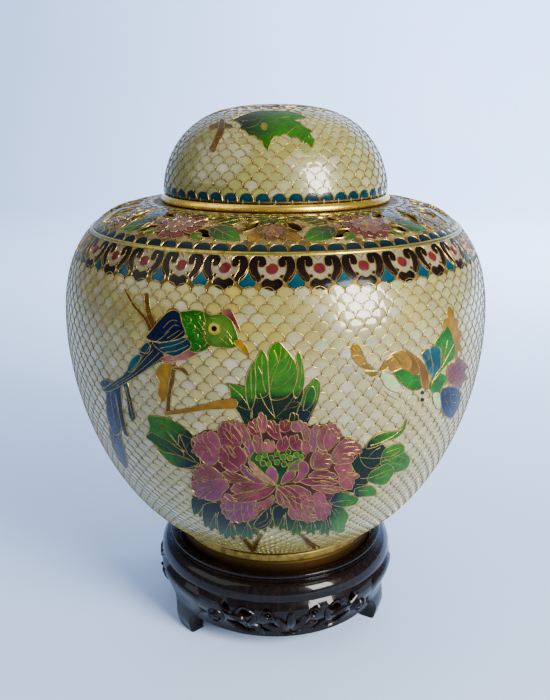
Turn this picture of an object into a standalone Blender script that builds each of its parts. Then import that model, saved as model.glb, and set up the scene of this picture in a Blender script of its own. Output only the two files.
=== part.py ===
"""Openwork enamel ginger jar with a domed lid, on a turned and carved wooden stand.

Metres, +Z up. The origin is on the table under the jar's axis, and the front faces -Y.
"""

import math

import bmesh
import bpy
from mathutils import Matrix, Vector
from mathutils.geometry import interpolate_bezier

MM = 0.001
OBJECT_NAME = "openwork_enamel_pot"

# Gap kept between two pieces that touch
SEAT_GAP = 0.3 * MM

# Sides of the turned pieces
JAR_SIDES = 40
RING_SIDES = 40

# Foot ring, gilt metal
FOOT_RING_RADIUS = 30.4 * MM
FOOT_RING_WALL = 3.2 * MM
FOOT_RING_HEIGHT = 7.2 * MM
FOOT_RING_BAND = 2.2 * MM
FOOT_RING_GROOVE_WIDTH = 0.6 * MM
FOOT_RING_GROOVE_DEPTH = 0.6 * MM
FOOT_RING_CHAMFER = 0.5 * MM

# Jar body, enamel in wire
BODY_RADIUS = 60.3 * MM
BODY_WALL = 1.4 * MM
BELLY_HEIGHT = 63.7 * MM
SHOULDER_HEIGHT = 96.6 * MM
BELLY_TO_FOOT_REACH = 28.5 * MM
FOOT_FLARE = 16.4 * MM
FOOT_FLARE_RISE = 8.4 * MM
BELLY_TO_SHOULDER_REACH = 19.0 * MM
SHOULDER_FLAT_REACH = 20.7 * MM
FOOT_STEP = 0.4 * MM
BASE_RISE = 1.5 * MM
PROFILE_STEPS = 8
INNER_PROFILE_STEPS = 5

# Raised wire around the shoulder
SHOULDER_WIRE_RADIUS = 51.9 * MM
SHOULDER_WIRE_WIDTH = 1.2 * MM
SHOULDER_WIRE_RISE = 0.35 * MM

# Neck collar under the lid, gilt metal
NECK_RADIUS = 28.8 * MM
NECK_WALL = 1.2 * MM
NECK_HEIGHT = 6.0 * MM
NECK_LIP = 0.4 * MM

# Lid, an enamel dome on a gilt rim
LID_OVERHANG = 3.7 * MM
LID_RIM_WIDTH = 2.3 * MM
LID_RIM_HEIGHT = 1.9 * MM
LID_RIM_STEP = 1.1 * MM
LID_WALL = 1.2 * MM
LID_DOME_HEIGHT = 23.2 * MM
LID_SIDE_POWER = 0.675
LID_CROWN_POWER = 1.056
LID_STEPS = 8
LID_INNER_STEPS = 5

# Openings cut through the shoulder between its flowers and leaves
OPENWORK_REPEATS = 6
OPENWORK_FIRST_ANGLE = 29.0
OPENWORK_MIDDLE_RADIUS = 43.4 * MM
OPENWORK_ROW_OFFSET = 3.6 * MM
OPENING_LENGTH = 6.4 * MM
OPENING_WIDTH = 2.6 * MM
OPENING_BY_FLOWER_ANGLE = 10.0
OPENING_BY_BUD_ANGLE = 23.5
OPENING_TILT = 28.0
OPENING_SIDES = 8

# Stand, dark hardwood
STAND_HEIGHT = 25.8 * MM
WELL_CLEARANCE = 0.7 * MM
WELL_DEPTH = 2.4 * MM
RIM_WIDTH = 2.5 * MM
RIM_STEP = 0.9 * MM
SWELL_RADIUS = 36.9 * MM
SWELL_HEIGHT = 16.4 * MM
OVOLO_RADIUS = 36.5 * MM
OVOLO_FOOT_HEIGHT = 19.4 * MM
UNDERCUT_DEPTH = 1.0 * MM
UNDERCUT_HEIGHT = 18.5 * MM
TOP_THICKNESS = 4.4 * MM
APRON_FOOT_RADIUS = 34.0 * MM
APRON_FOOT_HEIGHT = 5.8 * MM
APRON_WALL = 3.8 * MM
APRON_STEPS = 4
OVOLO_STEPS = 3
STAND_SIDES = 40

# Three bracket feet, in degrees from the front
LEG_COUNT = 3
FIRST_LEG_ANGLE = -53.0
LEG_WALL = 6.2 * MM
LEG_PROUD = 0.3 * MM
FOOT_HALF_WIDTH = 4.0 * MM
KNEE_HALF_WIDTH = 10.5 * MM
ANKLE_HEIGHT = 8.8 * MM
ANKLE_INSET = 2.1 * MM
TOE_HEIGHT = 3.4 * MM
TOE_INSET = 1.5 * MM
SOLE_INSET = 2.3 * MM

# Carving of the apron between two feet
PALMETTE_BLADES = 5
PALMETTE_SPREAD = 26.0
BLADE_LENGTH = 9.2 * MM
BLADE_WIDTH = 2.2 * MM
CARVING_RISE = 0.8 * MM
LOWER_RAIL = 1.5 * MM
SCROLL_RADIUS = 3.1 * MM
SCROLL_ANGLE = 38.0
SCROLL_ABOVE_EDGE = 5.4 * MM
SIDE_LEAF_ANGLE = 19.0
SIDE_LEAF_LENGTH = 7.6 * MM
SIDE_LEAF_WIDTH = 2.6 * MM
PIERCED_LENGTH = 5.8 * MM
PIERCED_WIDTH = 3.4 * MM

# Heights that follow from the sizes above
WELL_FLOOR_Z = STAND_HEIGHT - WELL_DEPTH
WELL_RADIUS = FOOT_RING_RADIUS + WELL_CLEARANCE
FOOT_RING_Z = WELL_FLOOR_Z + SEAT_GAP
BODY_Z = FOOT_RING_Z + FOOT_RING_HEIGHT + SEAT_GAP
SHOULDER_Z = BODY_Z + SHOULDER_HEIGHT
MOUTH_RADIUS = NECK_RADIUS - NECK_WALL
LID_RIM_Z = SHOULDER_Z + SEAT_GAP
LID_RIM_RADIUS = NECK_RADIUS + LID_OVERHANG
LID_Z = LID_RIM_Z + LID_RIM_HEIGHT + SEAT_GAP
LID_RADIUS = LID_RIM_RADIUS - LID_RIM_STEP
BODY_FOOT_RADIUS = FOOT_RING_RADIUS - FOOT_STEP


def clear_scene():
    """Remove what the file opens with."""
    for thing in list(bpy.data.objects):
        bpy.data.objects.remove(thing, do_unlink=True)


def new_collection(name):
    """Return a new collection linked to the scene."""
    collection = bpy.data.collections.new(name)
    bpy.context.scene.collection.children.link(collection)
    return collection


def new_material(name, colour, roughness, metallic=0.0):
    """Return a Principled material."""
    material = bpy.data.materials.new(name)
    material.use_nodes = True
    shader = material.node_tree.nodes["Principled BSDF"]
    shader.inputs["Base Color"].default_value = (*colour, 1.0)
    shader.inputs["Roughness"].default_value = roughness
    shader.inputs["Metallic"].default_value = metallic
    material.diffuse_color = (*colour, 1.0)
    return material


def add_object(name, mesh, collection, material=None):
    """Link a mesh as an object, in its material."""
    thing = bpy.data.objects.new(name, mesh)
    collection.objects.link(thing)
    if material is not None:
        mesh.materials.append(material)
    return thing


def as_guide(thing):
    """Mark an object that only cuts or joins another."""
    thing.hide_render = True
    thing.display_type = "WIRE"
    return thing


def turned(name, profile, collection, material, closed, sides):
    """Turn a profile of (radius, height) points around the Z axis."""
    count = len(profile)
    edges = [(index, index + 1) for index in range(count - 1)]
    if closed:
        edges.append((count - 1, 0))
    mesh = bpy.data.meshes.new(name)
    mesh.from_pydata([(radius, 0.0, height) for radius, height in profile], edges, [])
    thing = add_object(name, mesh, collection, material)
    screw = thing.modifiers.new("turn", "SCREW")
    screw.axis = "Z"
    screw.angle = math.tau
    screw.steps = sides
    screw.render_steps = sides
    screw.use_merge_vertices = True
    screw.merge_threshold = 0.00001
    screw.use_smooth_shade = True
    return thing


def curve_points(start, start_handle, end_handle, end, steps):
    """Return points along one cubic curve, both ends included."""
    corners = [Vector((x, z, 0.0)) for x, z in (start, start_handle, end_handle, end)]
    return [(p.x, p.y) for p in interpolate_bezier(*corners, steps + 1)]


def offset_inwards(points, distance):
    """Move a line that runs down an outer side towards the axis side, square to itself."""
    moved = []
    last = len(points) - 1
    for index, (radius, height) in enumerate(points):
        before = Vector(points[max(index - 1, 0)])
        after = Vector(points[min(index + 1, last)])
        along = (after - before).normalized()
        moved.append((radius + along.y * distance, height - along.x * distance))
    return moved


def shoulder_curve(steps):
    """Outer side from the lid's seat down to the belly."""
    seat = LID_RIM_RADIUS + SEAT_GAP
    return curve_points(
        (seat, SHOULDER_HEIGHT),
        (seat + SHOULDER_FLAT_REACH, SHOULDER_HEIGHT),
        (BODY_RADIUS, BELLY_HEIGHT + BELLY_TO_SHOULDER_REACH),
        (BODY_RADIUS, BELLY_HEIGHT),
        steps,
    )


def lower_curve(steps):
    """Outer side from the belly down to the foot."""
    return curve_points(
        (BODY_RADIUS, BELLY_HEIGHT),
        (BODY_RADIUS, BELLY_HEIGHT - BELLY_TO_FOOT_REACH),
        (BODY_FOOT_RADIUS + FOOT_FLARE, FOOT_FLARE_RISE),
        (BODY_FOOT_RADIUS, 0.0),
        steps,
    )


def with_shoulder_wire(points):
    """Add the raised wire to the shoulder's outer side."""
    half = SHOULDER_WIRE_WIDTH / 2
    result = []
    for (radius_a, height_a), (radius_b, height_b) in zip(points, points[1:]):
        result.append((radius_a, height_a))
        if not radius_a < SHOULDER_WIRE_RADIUS <= radius_b:
            continue
        along = Vector((radius_b - radius_a, height_b - height_a)).normalized()
        across = Vector((-along.y, along.x))
        share = (SHOULDER_WIRE_RADIUS - radius_a) / (radius_b - radius_a)
        middle = Vector((SHOULDER_WIRE_RADIUS, height_a + share * (height_b - height_a)))
        for step, rise in ((-half, 0.0), (-half / 2, 1.0), (half / 2, 1.0), (half, 0.0)):
            point = middle + along * step + across * rise * SHOULDER_WIRE_RISE
            result.append((point.x, point.y))
    result.append(points[-1])
    return result


def body_profile():
    """Floor, inner side, mouth, outer side and underside of the jar."""
    outer = with_shoulder_wire(shoulder_curve(PROFILE_STEPS)) + lower_curve(PROFILE_STEPS)[1:]
    inner_line = shoulder_curve(INNER_PROFILE_STEPS) + lower_curve(INNER_PROFILE_STEPS)[1:-1]
    inner = offset_inwards(inner_line, BODY_WALL)
    ring_inside = FOOT_RING_RADIUS - FOOT_RING_WALL
    floor = [(0.0, BASE_RISE + BODY_WALL), (ring_inside, BASE_RISE + BODY_WALL)]
    mouth = [(MOUTH_RADIUS, SHOULDER_HEIGHT - BODY_WALL), (MOUTH_RADIUS, SHOULDER_HEIGHT)]
    underside = [(ring_inside, 0.0), (ring_inside - BASE_RISE, BASE_RISE), (0.0, BASE_RISE)]
    line = floor + inner[::-1] + mouth + outer + underside
    return [(radius, BODY_Z + height) for radius, height in line]


def leaf_outline(length, width, sides):
    """Corners of a leaf with two pointed ends, on its own X and Y axes."""
    half = sides // 2
    corners = []
    for side in (1, -1):
        for index in range(half):
            share = index / half
            x = side * length * (0.5 - share)
            corners.append((x, side * width / 2 * math.sin(math.pi * share) ** 0.8))
    return corners


def prism(name, outline, depth, collection):
    """Extrude an outline on X and Y to both sides of its plane."""
    mesh = bpy.data.meshes.new(name)
    shape = bmesh.new()
    lower = [shape.verts.new((x, y, -depth / 2)) for x, y in outline]
    face = shape.faces.new(lower)
    top = bmesh.ops.extrude_face_region(shape, geom=[face])
    moved = [item for item in top["geom"] if isinstance(item, bmesh.types.BMVert)]
    bmesh.ops.translate(shape, verts=moved, vec=(0.0, 0.0, depth))
    bmesh.ops.recalc_face_normals(shape, faces=shape.faces)
    shape.to_mesh(mesh)
    shape.free()
    return as_guide(add_object(name, mesh, collection))


def openwork_places():
    """Radius, angle and tilt of every opening in the shoulder, in degrees."""
    step = 360.0 / OPENWORK_REPEATS
    outer = OPENWORK_MIDDLE_RADIUS + OPENWORK_ROW_OFFSET
    inner = OPENWORK_MIDDLE_RADIUS - OPENWORK_ROW_OFFSET
    for repeat in range(OPENWORK_REPEATS):
        for side in (-1, 1):
            flower = OPENWORK_FIRST_ANGLE + repeat * step
            near = flower + side * OPENING_BY_FLOWER_ANGLE
            far = flower + side * OPENING_BY_BUD_ANGLE
            yield outer, near, -side * OPENING_TILT
            yield inner, near, side * OPENING_TILT
            yield OPENWORK_MIDDLE_RADIUS, far, side * (90.0 - OPENING_TILT)


def cut_openwork(body, guides):
    """Cut the shoulder's openings right through its wall."""
    outline = leaf_outline(OPENING_LENGTH, OPENING_WIDTH, OPENING_SIDES)
    cuts = bpy.data.collections.new("shoulder_openings")
    guides.children.link(cuts)
    depth = BODY_RADIUS / 2
    for number, (radius, angle, tilt) in enumerate(openwork_places()):
        cutter = prism(f"shoulder_opening_{number:02d}", outline, depth, cuts)
        turn = math.radians(angle - 90.0)
        place = Vector((math.cos(turn) * radius, math.sin(turn) * radius, SHOULDER_Z))
        spin = Matrix.Rotation(turn + math.radians(90.0 + tilt), 4, "Z")
        cutter.matrix_world = Matrix.Translation(place) @ spin
    boolean = body.modifiers.new("openwork", "BOOLEAN")
    boolean.operation = "DIFFERENCE"
    boolean.operand_type = "COLLECTION"
    boolean.collection = cuts
    boolean.solver = "EXACT"


def make_body(collection, guides, material):
    """The jar: one hollow enamel wall with its floor."""
    body = turned("jar_body", body_profile(), collection, material, False, JAR_SIDES)
    cut_openwork(body, guides)
    return body


def make_foot_ring(collection, material):
    """The gilt foot ring, in two bands with a groove between them."""
    top = FOOT_RING_Z + FOOT_RING_HEIGHT
    inside = FOOT_RING_RADIUS - FOOT_RING_WALL
    groove_top = top - FOOT_RING_BAND
    groove_floor = groove_top - FOOT_RING_GROOVE_WIDTH
    chamfer = FOOT_RING_CHAMFER
    profile = [
        (inside, top),
        (FOOT_RING_RADIUS, top),
        (FOOT_RING_RADIUS, groove_top),
        (FOOT_RING_RADIUS - FOOT_RING_GROOVE_DEPTH, (groove_top + groove_floor) / 2),
        (FOOT_RING_RADIUS, groove_floor),
        (FOOT_RING_RADIUS, FOOT_RING_Z + chamfer),
        (FOOT_RING_RADIUS - chamfer, FOOT_RING_Z),
        (inside, FOOT_RING_Z),
    ]
    return turned("foot_ring", profile, collection, material, True, RING_SIDES)


def make_neck_collar(collection, material):
    """The gilt collar that the lid drops over."""
    bottom = SHOULDER_Z + SEAT_GAP
    top = bottom + NECK_HEIGHT
    profile = [
        (MOUTH_RADIUS, top),
        (NECK_RADIUS - NECK_LIP, top),
        (NECK_RADIUS, top - NECK_LIP),
        (NECK_RADIUS, bottom),
        (MOUTH_RADIUS, bottom),
    ]
    return turned("neck_collar", profile, collection, material, True, RING_SIDES)


def make_lid_rim(collection, material):
    """The lid's gilt rim, rounded on its outer side."""
    inside = LID_RIM_RADIUS - LID_RIM_WIDTH
    half = LID_RIM_HEIGHT / 2
    middle = LID_RIM_RADIUS - half
    top = LID_RIM_Z + LID_RIM_HEIGHT
    profile = [(inside, top), (middle, top)]
    for degrees in (45, 0, -45):
        angle = math.radians(degrees)
        profile.append((middle + half * math.cos(angle), LID_RIM_Z + half * (1 + math.sin(angle))))
    profile += [(middle, LID_RIM_Z), (inside, LID_RIM_Z)]
    return turned("lid_rim", profile, collection, material, True, RING_SIDES)


def dome_curve(steps):
    """Outer side of the lid from its crown down to the rim."""
    points = []
    for index in range(steps + 1):
        angle = math.pi / 2 * (1 - index / steps)
        radius = LID_RADIUS * max(math.cos(angle), 0.0) ** LID_SIDE_POWER
        height = LID_DOME_HEIGHT * math.sin(angle) ** LID_CROWN_POWER
        points.append((0.0 if index == 0 else radius, LID_Z + height))
    return points


def make_lid(collection, material):
    """The enamel dome of the lid, hollow under its crown."""
    outer = dome_curve(LID_STEPS)
    inner = offset_inwards(dome_curve(LID_INNER_STEPS), LID_WALL)
    inner[0] = (0.0, LID_Z + LID_DOME_HEIGHT - LID_WALL)
    inner[-1] = (LID_RADIUS - LID_WALL, LID_Z)
    return turned("lid_dome", outer + inner[::-1], collection, material, False, JAR_SIDES)


def apron_curve(steps):
    """Outer side of the apron from under the undercut down to its lower edge."""
    return curve_points(
        (SWELL_RADIUS, SWELL_HEIGHT),
        (SWELL_RADIUS, (SWELL_HEIGHT + APRON_FOOT_HEIGHT) / 2),
        (APRON_FOOT_RADIUS, (SWELL_HEIGHT + APRON_FOOT_HEIGHT) / 2),
        (APRON_FOOT_RADIUS, APRON_FOOT_HEIGHT),
        steps,
    )


def apron_radius(height):
    """Outer radius of the apron at a height, along its curve."""
    points = apron_curve(APRON_STEPS)
    for (radius_a, height_a), (radius_b, height_b) in zip(points, points[1:]):
        if height_b <= height <= height_a:
            share = (height_a - height) / (height_a - height_b)
            return radius_a + share * (radius_b - radius_a)
    return SWELL_RADIUS if height > SWELL_HEIGHT else APRON_FOOT_RADIUS


def stand_profile():
    """Well, rim, ovolo, undercut, apron and underside of the stand."""
    rim_radius = WELL_RADIUS + RIM_WIDTH
    ovolo_top = STAND_HEIGHT - 2 * RIM_STEP
    ovolo_rise = ovolo_top - OVOLO_FOOT_HEIGHT
    ovolo_reach = OVOLO_RADIUS - rim_radius
    profile = [
        (0.0, WELL_FLOOR_Z),
        (WELL_RADIUS, WELL_FLOOR_Z),
        (WELL_RADIUS, STAND_HEIGHT - RIM_STEP / 3),
        (WELL_RADIUS + RIM_STEP / 3, STAND_HEIGHT),
        (rim_radius - RIM_STEP / 2, STAND_HEIGHT),
        (rim_radius, STAND_HEIGHT - RIM_STEP / 2),
        (rim_radius - RIM_STEP / 3, STAND_HEIGHT - RIM_STEP),
        (rim_radius + RIM_STEP / 3, STAND_HEIGHT - 1.3 * RIM_STEP),
        (rim_radius, ovolo_top),
    ]
    for index in range(1, OVOLO_STEPS + 1):
        angle = math.pi / 2 * index / OVOLO_STEPS
        radius = rim_radius + ovolo_reach * math.sin(angle)
        profile.append((radius, OVOLO_FOOT_HEIGHT + ovolo_rise * math.cos(angle)))
    profile.append((OVOLO_RADIUS - UNDERCUT_DEPTH, UNDERCUT_HEIGHT))
    apron = apron_curve(APRON_STEPS)
    inner_top = WELL_FLOOR_Z - TOP_THICKNESS
    profile += apron
    profile += [
        (APRON_FOOT_RADIUS - APRON_WALL, APRON_FOOT_HEIGHT),
        (SWELL_RADIUS - APRON_WALL, inner_top),
        (0.0, inner_top),
    ]
    return profile


def leg_sections():
    """Height, outer radius and half width of a foot, from the sole up."""
    knee = SWELL_RADIUS + LEG_PROUD
    return [
        (0.0, knee - SOLE_INSET, FOOT_HALF_WIDTH),
        (TOE_HEIGHT, knee - TOE_INSET, FOOT_HALF_WIDTH),
        ((TOE_HEIGHT + ANKLE_HEIGHT) / 2, knee - (TOE_INSET + ANKLE_INSET) / 2, FOOT_HALF_WIDTH * 1.25),
        (ANKLE_HEIGHT, knee - ANKLE_INSET, (FOOT_HALF_WIDTH + KNEE_HALF_WIDTH) / 2),
        (SWELL_HEIGHT - ANKLE_HEIGHT / 4, knee - LEG_PROUD / 2, KNEE_HALF_WIDTH * 0.95),
        (SWELL_HEIGHT, knee, KNEE_HALF_WIDTH),
        (WELL_FLOOR_Z - TOP_THICKNESS / 2, OVOLO_RADIUS - UNDERCUT_DEPTH, KNEE_HALF_WIDTH * 0.7),
    ]


def make_leg(number, angle, guides):
    """One bracket foot, lofted between its sections along arcs of the apron."""
    across = 4
    shape = bmesh.new()
    rings = []
    inner_radius = SWELL_RADIUS - LEG_WALL
    for height, radius, half_width in leg_sections():
        reach = half_width / radius
        turns = [reach * (2 * step / across - 1) for step in range(across + 1)]
        corners = [(radius, turn) for turn in turns] + [(inner_radius, turn) for turn in turns[::-1]]
        rings.append([
            shape.verts.new((math.sin(turn) * r, -math.cos(turn) * r, height)) for r, turn in corners
        ])
    for lower, upper in zip(rings, rings[1:]):
        for index, corner in enumerate(lower):
            after = (index + 1) % len(lower)
            shape.faces.new((corner, lower[after], upper[after], upper[index]))
    shape.faces.new(rings[0][::-1])
    shape.faces.new(rings[-1])
    bmesh.ops.recalc_face_normals(shape, faces=shape.faces)
    mesh = bpy.data.meshes.new(f"leg_{number}")
    shape.to_mesh(mesh)
    shape.free()
    leg = as_guide(add_object(f"leg_{number}", mesh, guides))
    leg.matrix_world = Matrix.Rotation(math.radians(angle), 4, "Z")


def on_apron(angle, height, lift=0.0):
    """Frame on the apron's outer face: X along it, Y up it, Z outwards."""
    turn = Matrix.Rotation(math.radians(angle), 4, "Z")
    radius = apron_radius(height) + lift
    slope = math.atan2(apron_radius(height - MM) - apron_radius(height + MM), -2 * MM)
    face = Matrix.Rotation(math.radians(90.0), 4, "X") @ Matrix.Rotation(math.pi - slope, 4, "X")
    upright = Matrix.Translation(Vector((0.0, -radius, height)))
    return turn @ upright @ face


def carved_leaf(name, angle, height, lean, length, width, guides):
    """One raised leaf blade on the apron, leaning from upright by some degrees."""
    shape = bmesh.new()
    bmesh.ops.create_uvsphere(shape, u_segments=6, v_segments=4, radius=1.0)
    bmesh.ops.scale(shape, verts=shape.verts, vec=(width / 2, CARVING_RISE, length / 2))
    bmesh.ops.rotate(shape, verts=shape.verts, matrix=Matrix.Rotation(math.radians(-90.0), 3, "X"))
    bmesh.ops.rotate(shape, verts=shape.verts, matrix=Matrix.Rotation(math.radians(-lean), 3, "Z"))
    mesh = bpy.data.meshes.new(name)
    shape.to_mesh(mesh)
    shape.free()
    leaf = as_guide(add_object(name, mesh, guides))
    leaf.matrix_world = on_apron(angle, height)


def carved_scroll(name, angle, height, guides):
    """One rolled scroll end on the apron."""
    shape = bmesh.new()
    bmesh.ops.create_cone(
        shape, cap_ends=True, segments=12, depth=4 * CARVING_RISE,
        radius1=SCROLL_RADIUS * 1.1, radius2=SCROLL_RADIUS * 0.9,
    )
    mesh = bpy.data.meshes.new(name)
    shape.to_mesh(mesh)
    shape.free()
    scroll = as_guide(add_object(name, mesh, guides))
    scroll.matrix_world = on_apron(angle, height, -1.5 * CARVING_RISE)


def carve_bay(number, angle, guides):
    """Palmette, side leaves and scrolls of the apron between two feet."""
    root = APRON_FOOT_HEIGHT + LOWER_RAIL + BLADE_LENGTH / 2
    for blade in range(PALMETTE_BLADES):
        place = blade - (PALMETTE_BLADES - 1) / 2
        lean = place * PALMETTE_SPREAD
        shift = math.degrees(math.sin(math.radians(lean)) * BLADE_LENGTH / 2 / SWELL_RADIUS)
        height = root - (1 - math.cos(math.radians(lean))) * BLADE_LENGTH / 2
        name = f"palmette_{number}_{blade}"
        carved_leaf(name, angle + shift, height, lean, BLADE_LENGTH, BLADE_WIDTH, guides)
    middle = (UNDERCUT_HEIGHT + APRON_FOOT_HEIGHT) / 2
    for side in (-1, 1):
        tag = "left" if side < 0 else "right"
        carved_leaf(
            f"side_leaf_{number}_{tag}", angle + side * SIDE_LEAF_ANGLE, middle,
            side * 48.0, SIDE_LEAF_LENGTH, SIDE_LEAF_WIDTH, guides,
        )
        carved_scroll(
            f"scroll_{number}_{tag}", angle + side * SCROLL_ANGLE,
            APRON_FOOT_HEIGHT + SCROLL_ABOVE_EDGE, guides,
        )


def bay_openings():
    """Angle from the bay's middle, height, lean and size of each pierced opening."""
    low = APRON_FOOT_HEIGHT + LOWER_RAIL + PIERCED_WIDTH * 0.7
    high = UNDERCUT_HEIGHT - PIERCED_WIDTH * 0.9
    for side in (-1, 1):
        yield side * 11.5, low, side * 55.0, 0.9
        yield side * 10.0, high, side * 35.0, 0.85
        yield side * 20.5, high, -side * 75.0, 0.85
        yield side * 26.5, low, side * 70.0, 1.0
        yield side * 30.0, high, side * 15.0, 0.85


def pierce_bay(number, angle, cuts):
    """Cutters for the openings between the leaves of one bay."""
    for index, (offset, height, lean, scale) in enumerate(bay_openings()):
        outline = leaf_outline(PIERCED_LENGTH * scale, PIERCED_WIDTH * scale, 8)
        cutter = prism(f"pierced_{number}_{index}", outline, 4 * APRON_WALL, cuts)
        spin = Matrix.Rotation(math.radians(90.0 - lean), 4, "Z")
        cutter.matrix_world = on_apron(angle + offset, height) @ spin


def add_boolean(thing, name, operation, collection):
    """Join or cut an object with every piece of a collection."""
    boolean = thing.modifiers.new(name, "BOOLEAN")
    boolean.operation = operation
    boolean.operand_type = "COLLECTION"
    boolean.collection = collection
    boolean.solver = "EXACT"


def make_stand(collection, guides, material):
    """The stand: turned top and carved, pierced apron on three feet, from one piece of wood."""
    stand = turned("stand", stand_profile(), collection, material, False, STAND_SIDES)
    cuts = bpy.data.collections.new("apron_openings")
    carving = bpy.data.collections.new("apron_carving")
    guides.children.link(cuts)
    guides.children.link(carving)
    step = 360.0 / LEG_COUNT
    for number in range(LEG_COUNT):
        leg_angle = FIRST_LEG_ANGLE + number * step
        bay_angle = leg_angle + step / 2
        make_leg(number, leg_angle, carving)
        carve_bay(number, bay_angle, carving)
        pierce_bay(number, bay_angle, cuts)
    add_boolean(stand, "pierce", "DIFFERENCE", cuts)
    add_boolean(stand, "carve", "UNION", carving)
    return stand


def main():
    """Build every piece of the pot."""
    clear_scene()
    parts = new_collection(OBJECT_NAME)
    guides = new_collection("cutters")
    enamel = new_material("ivory_enamel", (0.72, 0.69, 0.55), 0.15)
    lid_enamel = new_material("lid_enamel", (0.70, 0.68, 0.55), 0.15)
    foot_gilt = new_material("foot_gilt", (0.72, 0.52, 0.17), 0.3, 1.0)
    neck_gilt = new_material("neck_gilt", (0.72, 0.52, 0.17), 0.3, 1.0)
    rim_gilt = new_material("rim_gilt", (0.78, 0.58, 0.22), 0.25, 1.0)
    wood = new_material("dark_wood", (0.045, 0.018, 0.014), 0.25)
    make_stand(parts, guides, wood)
    make_foot_ring(parts, foot_gilt)
    make_body(parts, guides, enamel)
    make_neck_collar(parts, neck_gilt)
    make_lid_rim(parts, rim_gilt)
    make_lid(parts, lid_enamel)


main()
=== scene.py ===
"""Looks of an openwork enamel jar with a domed lid, on a turned and carved hardwood stand.

Lengths are metres, +Z is up and the front faces -Y. An azimuth is in degrees from the front, towards +X.
"""

import logging
import math
import random
from collections.abc import Callable, Iterable, Iterator, Sequence
from dataclasses import dataclass, field
from enum import Enum

import bmesh
import bpy
import numpy as np
from mathutils import Euler, Matrix, Vector
from mathutils.geometry import delaunay_2d_cdt, interpolate_bezier


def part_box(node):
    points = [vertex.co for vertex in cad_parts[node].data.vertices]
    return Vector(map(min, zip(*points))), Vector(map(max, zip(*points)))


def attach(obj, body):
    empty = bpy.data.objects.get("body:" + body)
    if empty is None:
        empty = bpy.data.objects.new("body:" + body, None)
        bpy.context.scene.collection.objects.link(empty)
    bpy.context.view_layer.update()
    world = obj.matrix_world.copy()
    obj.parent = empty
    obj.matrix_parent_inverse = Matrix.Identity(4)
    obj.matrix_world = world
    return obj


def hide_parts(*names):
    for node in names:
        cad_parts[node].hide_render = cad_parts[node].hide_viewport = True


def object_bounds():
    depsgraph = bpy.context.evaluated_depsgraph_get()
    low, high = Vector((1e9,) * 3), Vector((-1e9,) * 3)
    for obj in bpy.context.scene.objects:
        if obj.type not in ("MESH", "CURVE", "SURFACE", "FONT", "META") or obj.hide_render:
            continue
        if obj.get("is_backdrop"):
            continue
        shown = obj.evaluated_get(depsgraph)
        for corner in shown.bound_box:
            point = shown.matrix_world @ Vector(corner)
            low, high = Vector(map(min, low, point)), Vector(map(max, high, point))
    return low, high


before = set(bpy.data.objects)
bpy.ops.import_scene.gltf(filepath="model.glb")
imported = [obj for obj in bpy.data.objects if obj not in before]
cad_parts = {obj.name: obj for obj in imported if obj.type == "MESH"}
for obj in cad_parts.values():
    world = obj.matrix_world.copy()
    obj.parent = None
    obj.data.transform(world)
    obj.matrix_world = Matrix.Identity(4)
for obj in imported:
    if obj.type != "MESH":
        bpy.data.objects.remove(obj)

log = logging.getLogger("jar")

MM = 0.001
BODY = "root"
SENSOR = 36.0
GLAZE = "glaze"
DRIFT = "drift"
# Scale-edge attribute for the olive tint along each wire: partly painted shade of the raised wire, partly the enamel's
# own edge colour.
WIRE_EDGE_SHADE = "rim"

Spot = tuple[float, float]
Tone = tuple[float, float, float]
Place = tuple[float, float, float]
Axes = tuple[Vector, Vector, Vector, Vector]
Path = list[Spot]
ToneAt = Callable[[float, float], Tone]


class Glaze(Enum):
    """Linear colours of the enamel."""

    IVORY = (0.220, 0.166, 0.012)
    PEARL = (0.212, 0.214, 0.076)
    SHELL = (0.150, 0.120, 0.070)
    MIST = (0.210, 0.250, 0.150)
    NAVY = (0.001, 0.003, 0.014)
    INK = (0.002, 0.001, 0.001)
    UMBER = (0.008, 0.003, 0.002)
    RED = (0.070, 0.009, 0.006)
    TEAL = (0.001, 0.022, 0.034)
    DEEP_TEAL = (0.0005, 0.0045, 0.006)
    LAGOON = (0.001, 0.048, 0.062)
    LEAF = (0.011, 0.074, 0.0001)
    GRASS = (0.003, 0.038, 0.0002)
    PINE = (0.0004, 0.0060, 0.0008)
    EMERALD = (0.003, 0.080, 0.003)
    MAUVE = (0.098, 0.014, 0.026)
    WINE = (0.060, 0.005, 0.011)
    LILAC = (0.120, 0.028, 0.044)
    ROSE = (0.140, 0.032, 0.032)
    OCHRE = (0.165, 0.084, 0.0005)
    AMBER = (0.120, 0.052, 0.0005)
    BARK = (0.055, 0.022, 0.002)
    SLATE = (0.010, 0.022, 0.055)
    FEATHER = (0.004, 0.013, 0.048)
    CELADON = (0.210, 0.320, 0.110)
    BLUSH = (0.190, 0.072, 0.055)
    DUSK = (0.090, 0.036, 0.028)
    ORCHID = (0.080, 0.016, 0.044)
    MOSS = (0.040, 0.085, 0.008)
    SAND = (0.200, 0.150, 0.060)
    OPAL = (0.330, 0.270, 0.230)
    OLIVE = (0.160, 0.085, 0.006)
    SAGE = (0.136, 0.138, 0.023)
    PETROL = (0.0008, 0.0100, 0.0150)
    GOLD = (1.0, 1.0, 1.0)


def mixed(first: Tone, second: Tone, share: float) -> Tone:
    """Blend two colours. Share 0 gives the first and 1 the second."""
    share = min(max(share, 0.0), 1.0)
    return tuple(a + (b - a) * share for a, b in zip(first, second))


def plain(glaze: Glaze) -> ToneAt:
    """Return one colour for every spot."""
    return lambda u, v: glaze.value


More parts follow.
